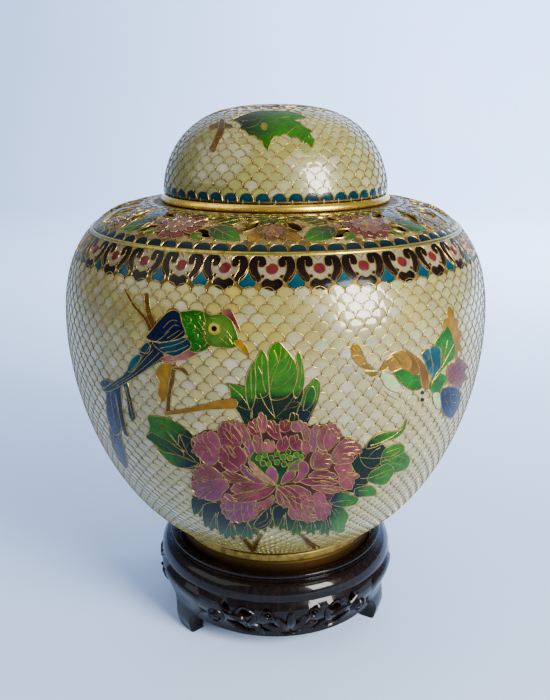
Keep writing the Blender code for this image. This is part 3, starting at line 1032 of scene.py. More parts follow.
class TreeInput(Enum):
    """Sockets that the two repeating trees can have, with their types."""

    COPY = ("Copy", "NodeSocketObject")
    COUNT = ("Count", "NodeSocketInt")
    FIRST_TURN = ("First Turn", "NodeSocketFloat")
    SIZE_JITTER = ("Size Jitter", "NodeSocketFloat")
    TURN_JITTER = ("Turn Jitter", "NodeSocketFloat")
    SEED = ("Seed", "NodeSocketInt")
    FINISH = ("Finish", "NodeSocketMaterial")


class Repeater:
    """Repeats a shape with a Geometry Nodes tree and hands back a plain mesh."""

    def __init__(self, name: str, inputs: Sequence[TreeInput]) -> None:
        """Start a tree with its named inputs.

        Args:
            name: Name of the tree.
            inputs: Its inputs, in order.
        """
        self.tree = bpy.data.node_groups.new(name, "GeometryNodeTree")
        self.sheet = Sheet(self.tree)
        face = self.tree.interface
        face.new_socket("Geometry", in_out="INPUT", socket_type="NodeSocketGeometry")
        for item in inputs:
            face.new_socket(item.value[0], in_out="INPUT", socket_type=item.value[1])
        face.new_socket("Geometry", in_out="OUTPUT", socket_type="NodeSocketGeometry")
        self.given = self.tree.nodes.new("NodeGroupInput")

    def socket(self, item: TreeInput) -> bpy.types.NodeSocket:
        """Return the socket of a named input."""
        return self.given.outputs[item.value[0]]

    def copies(self, points: bpy.types.NodeSocket, **feeds: object) -> bpy.types.NodeSocket:
        """Put copies of the shape on points."""
        shape = self.sheet.add("GeometryNodeObjectInfo", {"Object": self.socket(TreeInput.COPY)}, "Geometry")
        return self.sheet.add("GeometryNodeInstanceOnPoints", {"Points": points, "Instance": shape, **feeds})

    def chance(self, seed: object, *limits: float) -> bpy.types.NodeSocket:
        """Draw a number from 0 to 1, or between two limits, for each copy."""
        feeds = {"Seed": seed, **dict(enumerate(limits, 2))}
        return self.sheet.add("FunctionNodeRandomValue", feeds, 1, data_type="FLOAT")

    def close(self, instances: bpy.types.NodeSocket) -> None:
        """Realize the copies, set their finish and end the tree.

        Args:
            instances: The placed copies.
        """
        sheet = self.sheet
        feeds = {"Geometry": instances, "Name": DRIFT, "Value": self.chance(self.socket(TreeInput.SEED))}
        store = sheet.add("GeometryNodeStoreNamedAttribute", feeds, data_type="FLOAT", domain="INSTANCE")
        real = sheet.add("GeometryNodeRealizeInstances", {0: store})
        feeds = {"Geometry": real, "Material": self.socket(TreeInput.FINISH)}
        sheet.feed(self.tree.nodes.new("NodeGroupOutput"), {0: sheet.add("GeometryNodeSetMaterial", feeds)})

    def run(self, name: str, carrier: bpy.types.Mesh, values: dict[TreeInput, object]) -> bpy.types.Object:
        """Run the tree.

        Args:
            name: Name of the piece.
            carrier: Mesh that the tree starts from.
            values: Value of each named input.

        Returns:
            A plain mesh object. The copied shape is removed.
        """
        holder = linked(name + "_carrier", carrier)
        modifier = holder.modifiers.new("repeat", "NODES")
        modifier.node_group = self.tree
        for item, value in values.items():
            modifier[self.tree.interface.items_tree[item.value[0]].identifier] = value
        mesh = applied(holder)
        mesh.name = name
        holder.modifiers.remove(modifier)
        for used in (holder, values[TreeInput.COPY]):
            bpy.data.objects.remove(used, do_unlink=True)
        return linked(name, mesh)


class RingRepeater(Repeater):
    """Repeats a shape at equal angles around the jar's axis."""

    def __init__(self) -> None:
        """Build the tree."""
        used = (TreeInput.COPY, TreeInput.COUNT, TreeInput.FIRST_TURN, TreeInput.SEED, TreeInput.FINISH)
        super().__init__("ring_of_copies", used)
        sheet, count = self.sheet, self.socket(TreeInput.COUNT)
        line = sheet.add("GeometryNodeMeshLine", {"Count": count, "Offset": (0, 0, 0)})
        step = sheet.math("DIVIDE", 2 * math.pi, count)
        turn = sheet.math("MULTIPLY_ADD", sheet.add("GeometryNodeInputIndex"), step, self.socket(TreeInput.FIRST_TURN))
        self.close(self.copies(line, Rotation=sheet.add("ShaderNodeCombineXYZ", {2: turn})))

    def make(
        self, name: str, shape: bpy.types.Object, count: int, first: float, finish: Finish, seed: int = 1
    ) -> bpy.types.Object:
        """Repeat a shape around the axis.

        Args:
            name: Name of the piece.
            shape: Shape at azimuth 0. It is used up.
            count: Number of copies.
            first: Azimuth of the first copy, in degrees.
            finish: Finish of the copies.
            seed: Seed of the small differences between them.

        Returns:
            A plain mesh object.
        """
        values = {
            TreeInput.COPY: shape,
            TreeInput.COUNT: count,
            TreeInput.FIRST_TURN: math.radians(first),
            TreeInput.SEED: seed,
            TreeInput.FINISH: finish.material(),
        }
        return self.run(name, bpy.data.meshes.new(name), values)


class FieldRepeater(Repeater):
    """Repeats a shape on points that carry their own turn, size and colour."""

    def __init__(self) -> None:
        """Build the tree."""
        used = (TreeInput.COPY, TreeInput.SIZE_JITTER, TreeInput.TURN_JITTER, TreeInput.SEED, TreeInput.FINISH)
        super().__init__("field_of_copies", used)
        sheet, seed = self.sheet, self.socket(TreeInput.SEED)
        turn = sheet.add("GeometryNodeInputNamedAttribute", {"Name": "turn"}, data_type="FLOAT_VECTOR")
        grow = sheet.add("GeometryNodeInputNamedAttribute", {"Name": "grow"}, data_type="FLOAT")
        wobble = self.chance(seed, -1.0, 1.0)
        size = sheet.math("MULTIPLY_ADD", wobble, self.socket(TreeInput.SIZE_JITTER), 1.0)
        copies = self.copies(self.given.outputs[0], Rotation=turn, Scale=sheet.math("MULTIPLY", size, grow))
        swing = self.chance(sheet.math("ADD", seed, 7.0), -1.0, 1.0)
        swing = sheet.math("MULTIPLY", swing, self.socket(TreeInput.TURN_JITTER))
        feeds = {"Instances": copies, "Rotation": sheet.add("ShaderNodeCombineXYZ", {2: swing})}
        self.close(sheet.add("GeometryNodeRotateInstances", feeds))

    def make(
        self, name: str, shape: bpy.types.Object, spots: Sequence[tuple], finish: Finish, seed: int = 1
    ) -> bpy.types.Object:
        """Repeat a shape on spots of a surface.

        Args:
            name: Name of the piece.
            shape: Shape one unit wide, flat on X and Y. It is used up.
            spots: Place, turn as a matrix, size and colour of each copy.
            finish: Finish of the copies.
            seed: Seed of the small differences between them.

        Returns:
            A plain mesh object.
        """
        mesh = bpy.data.meshes.new(name)
        mesh.from_pydata([tuple(s[0]) for s in spots], [], [])
        for attribute, kind, key, rows in (
            ("turn", "FLOAT_VECTOR", "vector", [tuple(s[1].to_euler()) for s in spots]),
            ("grow", "FLOAT", "value", [s[2] for s in spots]),
            (GLAZE, "FLOAT_COLOR", "color", [(*s[3], 1.0) for s in spots]),
        ):
            mesh.attributes.new(attribute, kind, "POINT").data.foreach_set(key, np.array(rows, np.float32).ravel())
        values = {
            TreeInput.COPY: shape,
            TreeInput.SIZE_JITTER: 0.03,
            TreeInput.TURN_JITTER: math.radians(3.5),
            TreeInput.SEED: seed,
            TreeInput.FINISH: finish.material(),
        }
        return self.run(name, mesh, values)


def settle(piece: bpy.types.Object, slot: str, *nodes: str) -> None:
    """Fix a finished piece to the frame.

    Args:
        piece: The piece, in place.
        slot: The record's material slot; not used.
        nodes: CAD nodes that it stands for.
    """
    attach(piece, BODY)
    if nodes:
        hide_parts(*nodes)
    piece.data.calc_loop_triangles()
    log.info("%s: %d triangles", piece.name, len(piece.data.loop_triangles))


def bezier(start: Spot, first: Spot, second: Spot, end: Spot, steps: int) -> Path:
    """Return points on a curve with two handles."""
    corners = [Vector((*p, 0.0)) for p in (start, first, second, end)]
    return [(p.x, p.y) for p in interpolate_bezier(*corners, steps + 1)]


@dataclass
class ScaleField:
    """Fish scales in wire, in rows that overlap upwards.

    Attributes:
        skin: Surface that carries them.
        around: Scales in one row.
        start: Travel of the first row.
        end: Travel of the last row.
        wire: Width of the wire, as a share of a scale's width.
        arc_steps: Stretches of the wire's arc.
    """

    skin: Skin
    around: int
    start: float
    end: float
    wire: float = 0.075
    arc_steps: int = 6

    def rows(self) -> Iterator[tuple[float, float, float]]:
        """Yield the travel, the scale width and the shift of every row.

        Yields:
            Travel, width and shift.
        """
        travel, odd = self.start, 0
        while travel < self.end:
            width = 2 * math.pi * self.skin.radius(travel) / self.around
            yield travel, width, odd / 2
            travel += width / 2
            odd = 1 - odd

    def spots(self, tone: ToneAt, skip: Callable[[np.ndarray], np.ndarray], lift: float = 0.02 * MM) -> list[tuple]:
        """Place every scale.

        Args:
            tone: Colour by azimuth and travel.
            skip: Tells which spots stay free, by azimuth in degrees and travel in millimetres.
            lift: Height above the surface.

        Returns:
            Place, turn, size and colour of each scale.
        """
        places = [
            (360.0 * (index + shift) / self.around - 180.0, travel, width)
            for travel, width, shift in self.rows() for index in range(self.around)
        ]
        free = skip(np.array([(azimuth, travel / MM) for azimuth, travel, _ in places]))
        found = []
        for (azimuth, travel, width), skipped in zip(places, free):
            if not skipped:
                point, out, east, up = self.skin.axes(azimuth, travel, lift)
                found.append((point, Matrix((east, up, out)).transposed(), width, tone(azimuth, travel)))
        return found

    def arc(self, middle: Spot, start: float, end: float, steps: int) -> Path:
        """Return points on a half-unit circle, between two angles in degrees."""
        turns = [math.radians(start + (end - start) * i / steps) for i in range(steps + 1)]
        return [(middle[0] + 0.5 * math.cos(t), middle[1] + 0.5 * math.sin(t)) for t in turns]

    def tile(self) -> bpy.types.Object:
        """Make one scale of enamel, one unit wide, with a raised middle.

        Returns:
            The scale.
        """
        rim = self.arc((0, 0), 0, 180, 6)[:-1] + self.arc((-0.5, -0.5), 90, 0, 3)[:-1]
        rim += self.arc((0.5, -0.5), 180, 90, 3)[:-1]
        count = len(rim)
        points = [Vector((x, y, 0.0)) for x, y in rim]
        points += [Vector((x * 0.62, y * 0.62 + 0.02, 0.017)) for x, y in rim]
        points.append(Vector((0.0, 0.04, 0.022)))
        faces: list[tuple[int, ...]] = []
        for i in range(count):
            k = (i + 1) % count
            faces += [(i, k, count + k, count + i), (count + i, count + k, 2 * count)]
        piece = mesh_piece("scale_tile", points, faces)
        # Edge values, 1 on the outline, 0.34 on the inner ring and 0 in the middle, drive the olive tint: partly
        # painted shade of the wire.
        wire_edge_shades = piece.data.attributes.new(WIRE_EDGE_SHADE, "FLOAT", "POINT")
        wire_edge_shades.data.foreach_set("value", [1.0] * count + [0.34] * count + [0.0])
        return piece

    def wire_arc(self) -> bpy.types.Object:
        """Make one scale's wire, one unit wide.

        Returns:
            The wire.
        """
        section = ((1, -0.01), (0, 0.042), (-1, -0.01))
        path = self.arc((0, 0), 0, 180, self.arc_steps)
        points = [
            Vector((x * (1 + side * self.wire), y * (1 + side * self.wire), rise))
            for x, y in path
            for side, rise in section
        ]
        rings = [range(i, i + 3) for i in range(0, len(points), 3)]
        faces = [face for here, there in zip(rings, rings[1:]) for face in strip(here, there)]
        return mesh_piece("scale_wire", points, faces + [tuple(rings[0][::-1]), tuple(rings[-1])], sharp=180.0)


@dataclass
class Jar:
    """The jar's body: enamel wall, fish scales, lappets, openwork shoulder and picture.

    Attributes give the same sizes as the CAD solid.
    """

    radius: float = 60.3 * MM
    wall: float = 1.4 * MM
    belly: float = 63.7 * MM
    shoulder: float = 96.6 * MM
    to_foot: float = 28.5 * MM
    flare: float = 16.4 * MM
    flare_rise: float = 8.4 * MM
    to_shoulder: float = 19.0 * MM
    shoulder_flat: float = 20.7 * MM
    foot_radius: float = 30.0 * MM
    seat_radius: float = 32.8 * MM
    mouth_radius: float = 27.6 * MM
    base_rise: float = 1.5 * MM
    base_radius: float = 27.2 * MM
    sides: int = 144
    gold_line: float = 51.9 * MM
    gold_line_width: float = 1.2 * MM
    gold_line_rise: float = 0.45 * MM
    scales: int = 92
    lappets: int = 32
    first_lappet: float = -0.9
    lappet_middle: float = 54.4 * MM
    scallops: int = 72
    repeats: int = 6
    first_flower: float = 29.0
    openwork_middle: float = 43.4 * MM
    openwork_offset: float = 3.6 * MM
    opening: Spot = (6.4, 2.6)
    by_flower: float = 10.0
    by_bud: float = 23.5
    tilt: float = 28.0
    foot: float = field(init=False)
    skin: Skin = field(init=False)
    outlines: list[Path] = field(default_factory=list)
    band_outlines: list[Path] = field(default_factory=list)

    def __post_init__(self) -> None:
        """Find the jar's place and its outer line."""
        self.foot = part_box("jar_body")[0].z
        belly = (self.radius, self.belly)
        flare = (self.foot_radius + self.flare, self.flare_rise)
        line = bezier((self.foot_radius, 0.0), flare, (self.radius, self.belly - self.to_foot), belly, 90)
        top = (self.seat_radius + self.shoulder_flat, self.shoulder)
        swell = (self.radius, self.belly + self.to_shoulder)
        line += bezier(belly, swell, top, (self.seat_radius, self.shoulder), 90)[1:]
        line.append((self.mouth_radius, self.shoulder))
        self.skin = Skin([(radius, self.foot + height) for radius, height in line])

    def in_band(self, azimuth: float, radius: float) -> LocalChart:
        """Return a chart on the shoulder."""
        return LocalChart(self.skin, turn=azimuth, travel=self.skin.at_radius(radius))

    def opening_places(self) -> Iterator[tuple[float, float, float]]:
        """Yield the radius, azimuth and tilt of one repeat's openings, with the flower at azimuth 0.

        Yields:
            Radius, azimuth and tilt.
        """
        outer = self.openwork_middle + self.openwork_offset
        inner = self.openwork_middle - self.openwork_offset
        for side in (-1, 1):
            yield outer, side * self.by_flower, -side * self.tilt
            yield inner, side * self.by_flower, side * self.tilt
            yield self.openwork_middle, side * self.by_bud, side * (90.0 - self.tilt)

    def opening_outline(self, tilt: float, grow: float = 0.0) -> Path:
        """Return an opening's outline about its middle, widened all round by millimetres.

        Args:
            tilt: Its turn in degrees.
            grow: Millimetres to add all round.

        Returns:
            The outline in millimetres.
        """
        length, width = self.opening[0] + 2 * grow, self.opening[1] + 2 * grow
        leaf = leaf_outline(length, width, 10, 0.5)
        return placed([(x - length / 2, y) for x, y in leaf], (0.0, 0.0), tilt)

    def openings(self) -> Iterator[tuple[LocalChart, Path]]:
        """Yield the chart and the outline of every opening.

        Yields:
            Chart and outline.
        """
        for repeat in range(self.repeats):
            for radius, azimuth, tilt in self.opening_places():
                turn = self.first_flower + repeat * 360.0 / self.repeats + azimuth
                yield self.in_band(turn, radius), self.opening_outline(tilt)

    def wall_profile(self) -> Path:
        """Return the closed profile of the hollow wall.

        Returns:
            Radius and height of its points.
        """
        outer = [tuple(p) for p in self.skin.line[:-1:3]] + [tuple(self.skin.line[-2])]
        inner = [self.skin.section(self.skin.at_height(height), -self.wall) for _, height in outer[:1:-1]]
        top = self.foot + self.shoulder
        low = self.foot + self.base_rise
        floor = low + self.wall
        mouth = [(self.mouth_radius, top), (self.mouth_radius, top - self.wall)]
        inner = [p for p in inner if self.base_radius < p[0] and floor < p[1] < top - self.wall]
        base = [(self.base_radius, floor), (0.0, floor), (0.0, low)]
        return outer + mouth + inner + base + [(self.base_radius - self.base_rise, low), (self.base_radius, self.foot)]

    def build_wall(self) -> None:
        """Make the hollow wall with its real openings."""
        wall = turned("jar_wall", self.wall_profile(), self.sides, WALL_BRASS.material())
        cut(wall, self.openings(), -2.5 * self.wall, 1.5 * self.wall).data.name = "jar_wall"
        settle(wall, "jar_enamel", "jar_body")

    def ground_tone(self, chance: random.Random) -> ToneAt:
        """Return the ground's colour by azimuth and travel: warm at the left front, pearly at the right as painted
        reflection, and darker in the lowest 15 mm towards the foot as painted shade.
        """
        # Pearly towards the right: painted reflection of the window.
        ground = Ground(chance, Glaze.IVORY, 28.0, (0.35, 1.3), 0.35, 0.6, (0.83, 1.04))
        # Painted shade: the lowest 15 mm are darkened, down to 0.48 at the foot.
        return lambda azimuth, travel: ground.tone(azimuth, 0.48 + 0.52 * min(travel / (15 * MM), 1.0))

    def build_scales(self, field_of: FieldRepeater) -> None:
        """Cover the belly and the shoulder with scales.

        Args:
            field_of: Tree that copies a piece to many spots.
        """
        chance = random.Random(11)
        belly = ScaleField(self.skin, self.scales, 3.0 * MM, self.skin.at_radius(56.6 * MM))
        ends = (self.skin.at_radius(49.6 * MM), self.skin.at_radius(36.6 * MM))
        band = ScaleField(self.skin, 96, *ends, 0.09)

        def skip(spots: np.ndarray) -> np.ndarray:
            return covered(self.outlines, spots, 1.5) | covered(self.outlines, spots + (360.0, 0.0), 1.5)

        def brown(azimuth: float, travel: float) -> Tone:
            return mixed(Glaze.UMBER.value, Glaze.SAND.value, chance.uniform(0.0, 0.9))

        lay_scales(field_of, "jar", "jar_enamel", belly, belly.spots(self.ground_tone(chance), skip), GROUND_ENAMEL, 1)
        lay_scales(field_of, "shoulder", "jar_enamel", band, band.spots(brown, self.band_taken), MOTIF_ENAMEL, 3)

    def band_taken(self, spots: np.ndarray) -> np.ndarray:
        """Tell which spots of the shoulder are open or covered.

        Args:
            spots: Azimuth and travel of the spots.

        Returns:
            True for each such spot.
        """
        step = 360.0 / self.repeats
        turned_spots = spots.copy()
        turned_spots[:, 0] = (spots[:, 0] - self.first_flower + step / 2) % step - step / 2
        taken = covered(self.band_outlines, turned_spots, 0.0)
        for side in (-step, 0.0, step):
            for radius, place, tilt in self.opening_places():
                away = turned_spots + (side - place, -self.skin.at_radius(radius) / MM)
                away[:, 0] *= math.radians(radius / MM)
                taken |= within(self.opening_outline(tilt, 1.2), away)
        return taken

    def build_gold_line(self) -> None:
        """Make the raised gold band around the shoulder."""
        middle, half = self.skin.at_radius(self.gold_line), self.gold_line_width / 2
        section = ((-1, -0.5), (-0.9, 0.5), (-0.5, 0.95), (0.0, 1.0), (0.5, 0.95), (0.9, 0.5), (1, -0.5))
        profile = [self.skin.section(middle + step * half, rise * self.gold_line_rise) for step, rise in section]
        settle(turned("shoulder_gold_line", profile, self.sides, RING_GILT.material(), 60.0), "jar_enamel")

    def build_lappets(self, ring: RingRepeater) -> None:
        """Make the band of cloud-headed lappets.

        Args:
            ring: Tree that repeats a piece around the axis.
        """
        chart = LocalChart(self.skin, travel=self.skin.at_radius(self.lappet_middle))
        enamel, wires = Inlay(), Inlay()
        lift, wire = 0.10 * MM, (0.22 * MM, 0.16 * MM)

        def cell(points: Path, tone: ToneAt, level: float = lift, crown: float = 0.05 * MM) -> None:
            enamel.cell(chart, points, tone, level, crown, 1.0)
            wires.ridge(chart, points, *wire, closed=True, lift=level - 0.06 * MM)

        ground = path_of("-5.3,3.4 0,3.4 5.3,3.4 5.3,-1.6 2.6,-3.4 0,-4 -2.6,-3.4 -5.3,-1.6")
        enamel.cell(chart, ground, plain(Glaze.SHELL), 0.05 * MM, 0.0, 1.2)
        wires.ridge(chart, path_of("-1.1,3.3 -0.5,2.7 0,2.1 0.5,2.7 1.1,3.3"), *wire)
        drop = path_of("5.34,0.4 6.1,-1.3 7.2,-2.5 7,-4 5.34,-4.75 3.68,-4 3.5,-2.5 4.6,-1.3")
        cell(smoothed(drop, 4, True), fading(Glaze.LAGOON, Glaze.TEAL, (5.4, 0), (5.4, -4)), 0.08 * MM)
        curl = path_of("2.3,1.3 2.25,2.15 3,2.85 4,2.25 4.3,0.8 4.05,-0.9 3.2,-2.3")
        widths = (1.9, 1.75, 1.55, 1.95, 2.15, 2.1, 1.8)
        for side in (-1, 1):
            arm = smoothed([(side * x, y) for x, y in curl], 4)
            cell(band_outline(arm, widths), fading(Glaze.INK, Glaze.UMBER, (0, 3), (0, -2)))
            cell(disc((side * 2.1, -1.75), 0.45, 8), plain(Glaze.UMBER))
        foot = path_of("-2.3,-3 -2.1,-4.2 0,-5.1 2.1,-4.2 2.3,-3 1.2,-2.2 0,-2.7 -1.2,-2.2")
        cell(smoothed(foot, 4, True), fading(Glaze.UMBER, Glaze.INK, (-2, 0), (2, 0)))
        cell(disc((0.0, 0.1), 1.35, 16), fading(Glaze.RED, Glaze.WINE, (0, 1), (0, -1)), lift, 0.12 * MM)
        args = (self.lappets, self.first_lappet)
        settle(ring.make("lappet_enamel", enamel.piece("lappet"), *args, MOTIF_ENAMEL), "jar_enamel")
        settle(ring.make("lappet_wires", wires.piece("lappet_wire"), *args, MOTIF_GILT), "jar_enamel")

    def build_scallops(self, ring: RingRepeater) -> None:
        """Make the three rows of scallops on the shoulder.

        Args:
            ring: Tree that repeats a piece around the axis.
        """
        for name, radius, count, height, glazes in (
            ("outer_", self.gold_line - 0.6 * MM, self.scallops, 2.1, (Glaze.DEEP_TEAL, Glaze.PETROL)),
            ("inner_", 38.2 * MM, 60, 1.7, (Glaze.PETROL, Glaze.DEEP_TEAL)),
            ("rim_", 36.2 * MM, 54, 2.1, (Glaze.DEEP_TEAL, Glaze.MOSS)),
        ):
            half = math.pi * radius / count / MM * 0.94
            row = Scallops(name, "jar_enamel", self.in_band(0.0, radius), count, half, height)
            row.build(ring, fading(*glazes, (0, 0), (0, height)), 0.10 * MM, 0.06 * MM, 0.6, 5)

    def build_openwork(self, ring: RingRepeater) -> None:
        """Make the flowers, leaves and gold rims of the shoulder's openwork.

        Args:
            ring: Tree that repeats a piece around the axis.
        """
        enamel, wires = Inlay(), Inlay()
        spray = Spray(self.in_band(0.0, 44.0 * MM), enamel, wires, self.band_outlines)
        for base, tip, width, *glazes in (
            ((8.6, -0.6), (16.4, -5.4), 5.6, Glaze.PINE, Glaze.LEAF),
            ((-8.6, -0.6), (-16.4, -5.4), 5.6, Glaze.PINE, Glaze.LEAF),
            ((9.4, 1.2), (15.4, 5.8), 4.8, Glaze.PINE, Glaze.GRASS),
            ((-9.4, 1.2), (-15.4, 5.8), 4.8, Glaze.PINE, Glaze.GRASS),
            ((-22.6, 1.6), (-19.8, 6.2), 3.6, Glaze.PINE, Glaze.LEAF),
            ((-23.6, 1.6), (-26.4, 6.2), 3.6, Glaze.PETROL, Glaze.LEAF),
            ((20.6, -2.2), (18.2, -5.6), 3.2, Glaze.BARK, Glaze.OCHRE),
            ((-19.8, -2.6), (-17.4, -5.6), 3.2, Glaze.BARK, Glaze.AMBER),
            ((5.2, -3.4), (7.6, -5.8), 2.6, Glaze.GRASS, Glaze.LEAF),
            ((-5.2, -3.4), (-7.6, -5.8), 2.6, Glaze.GRASS, Glaze.LEAF),
            ((4.6, 4.2), (7.4, 6.4), 2.4, Glaze.PINE, Glaze.MOSS),
            ((-4.6, 4.2), (-7.4, 6.4), 2.4, Glaze.BARK, Glaze.OCHRE),
        ):
            spray.leaf(base, tip, width, glazes, 2 if width > 3 else 0)
        spray.flower((0.0, -0.2), 6.4, 9, (Glaze.UMBER, Glaze.WINE), (Glaze.WINE, Glaze.DUSK))
        spray.flower((-23.0, -1.7), 3.8, 7, (Glaze.UMBER, Glaze.BARK), (Glaze.WINE, Glaze.DUSK))
        spray.lay()
        for radius, azimuth, tilt in self.opening_places():
            outline = self.opening_outline(tilt, 0.12)
            wires.ridge(self.in_band(azimuth, radius), outline, 0.42 * MM, 0.30 * MM, closed=True)
        args = (self.repeats, self.first_flower)
        settle(ring.make("openwork_enamel", enamel.piece("openwork"), *args, MOTIF_ENAMEL), "jar_enamel")
        settle(ring.make("openwork_wires", wires.piece("openwork_wire"), *args, MOTIF_GILT), "jar_enamel")

    def build_picture(self) -> None:
        """Lay the bird, the peonies and the butterfly into the ground."""
        enamel, wires = Inlay(), Inlay()
        for turn, motifs in ((0.0, (Peony, Bird, Butterfly)), (180.0, (Peony,))):
            spray = Spray(ViewChart(self.skin, turn=turn), enamel, wires, self.outlines, 4.5)
            for motif in motifs:
                motif(spray).draw()
            spray.lay()
        back = Spray(HeightChart(self.skin, self.foot, 180.0), enamel, wires, self.outlines)
        green = (Glaze.PINE, Glaze.LEAF)
        for side in (-1, 1):
            back.flower((side * 50.0, 57.0), 6.6, 8, (Glaze.WINE, Glaze.ROSE), (Glaze.MAUVE, Glaze.LILAC))
            back.leaf((side * 56.0, 53.0), (side * 66.0, 44.0), 6.0, green, 2)
            back.leaf((side * 44.0, 62.0), (side * 36.0, 71.0), 6.0, green, 2)
        back.lay()
        settle(enamel.piece("picture_enamel", MOTIF_ENAMEL.material()), "jar_enamel")
        settle(wires.piece("picture_wires", MOTIF_GILT.material()), "jar_enamel")


@dataclass
class Ground:
    """Colours of the fish scales. The pearly share grows from the warm side around towards the right, as painted
    reflection of the window; the rest differs at random from scale to scale.

    Attributes:
        chance: Draws the differences between the scales.
        warm: Enamel of the warm side.
        turn: Degrees from the front to the warm side, towards -X.
        blend: Share of the pearly enamel on the warm side, and how much more of it on the other; this extra pearl is
            painted reflection.
        rare: Share of the scales with an enamel of their own.
        most: Greatest part of that enamel.
        level: Lowest and highest brightness.
    """

    chance: random.Random
    warm: Glaze
    turn: float
    blend: Spot
    rare: float
    most: float
    level: Spot

    def tone(self, azimuth: float, gain: float = 1.0) -> Tone:
        """Draw the colour of the next scale.

        Args:
            azimuth: Degrees from the front.
            gain: Brightness to multiply by; the jar's ground passes a painted shade that darkens towards the foot.

        Returns:
            The colour.
        """
        chance = self.chance
        # Painted reflection: the pearly share grows around the jar, away from the warm side.
        reflection_share = 0.5 - 0.5 * math.cos(math.radians(azimuth + self.turn))
        share = self.blend[0] + self.blend[1] * reflection_share + chance.uniform(-0.25, 0.25)
        shade = mixed(self.warm.value, Glaze.PEARL.value, share)
        if chance.random() < self.rare:
            other = chance.choice((Glaze.MIST, Glaze.OPAL, Glaze.SAND)).value
            shade = mixed(shade, other, chance.uniform(0.2, self.most))
        level = chance.uniform(*self.level) * gain
        return tuple(channel * level for channel in shade)


def lay_scales(
    field_of: FieldRepeater, name: str, slot: str, scale: ScaleField, spots: list[tuple], finish: Finish, seed: int
) -> None:
    """Lay enamel scales and their wires on spots.

    Args:
        field_of: Repeats the shapes.
        name: Begins the names of both pieces.
        slot: The record's material slot.
        scale: Gives the shapes.
        spots: Place, turn, size and colour of each scale.
        finish: Finish of the enamel.
        seed: Seed of the small differences between the scales.
    """
    settle(field_of.make(f"{name}_scales", scale.tile(), spots, finish, seed), slot)
    settle(field_of.make(f"{name}_scale_wires", scale.wire_arc(), spots, WIRE_GILT, seed), slot)


@dataclass
class Scallops:
    """A row of scallops in wire.

    Attributes:
        name: Begins the names of both pieces.
        slot: The record's material slot.
        chart: Chart about the middle of the first one's straight side.
        count: Scallops in the row.
        half: Half of a scallop's width.
        height: Its height.
    """

    name: str
    slot: str
    chart: LocalChart
    count: int
    half: float
    height: float

    def build(self, ring: RingRepeater, tone: ToneAt, lift: float, crown: float, first: float, seed: int) -> None:
        """Make the row.

        Args:
            ring: Repeats the scallop.
            tone: Colour of each spot.
            lift: Height of its edge above the surface.
            crown: How much higher its middle stands.
            first: Azimuth of the first one, in degrees.
            seed: Seed of the small differences between them.
        """
        turns = np.linspace(0, math.pi, 11)
        dome = [(self.half * math.cos(t), self.height * math.sin(t) ** 0.8) for t in turns]
        enamel, wires = Inlay(), Inlay()
        enamel.cell(self.chart, dome, tone, lift, crown, 1.0)
        wires.ridge(self.chart, dome, 0.26 * MM, 0.20 * MM)
        args = (self.count, first)
        settle(ring.make(f"{self.name}scallops", enamel.piece("scallop"), *args, MOTIF_ENAMEL, seed), self.slot)
        settle(ring.make(f"{self.name}scallop_wires", wires.piece("scallop_wire"), *args, WIRE_GILT), self.slot)


@dataclass
class Cell:
    """A cell of a drawing before it is laid.

    Attributes:
        outline: Its corners.
        tone: Colour of each spot.
        crown: How much higher its middle stands.
    """

    outline: Path
    tone: ToneAt
    crown: float


@dataclass
class Strand:
    """A wire of a drawing before it is laid.

    Attributes:
        path: Its points.
        after: Number of cells that were drawn before it.
        own: Cell that it edges, or -1.
        sizes: Shares of the wire's width along it.
    """

    path: Path
    after: int
    own: int
    sizes: tuple[float, float]


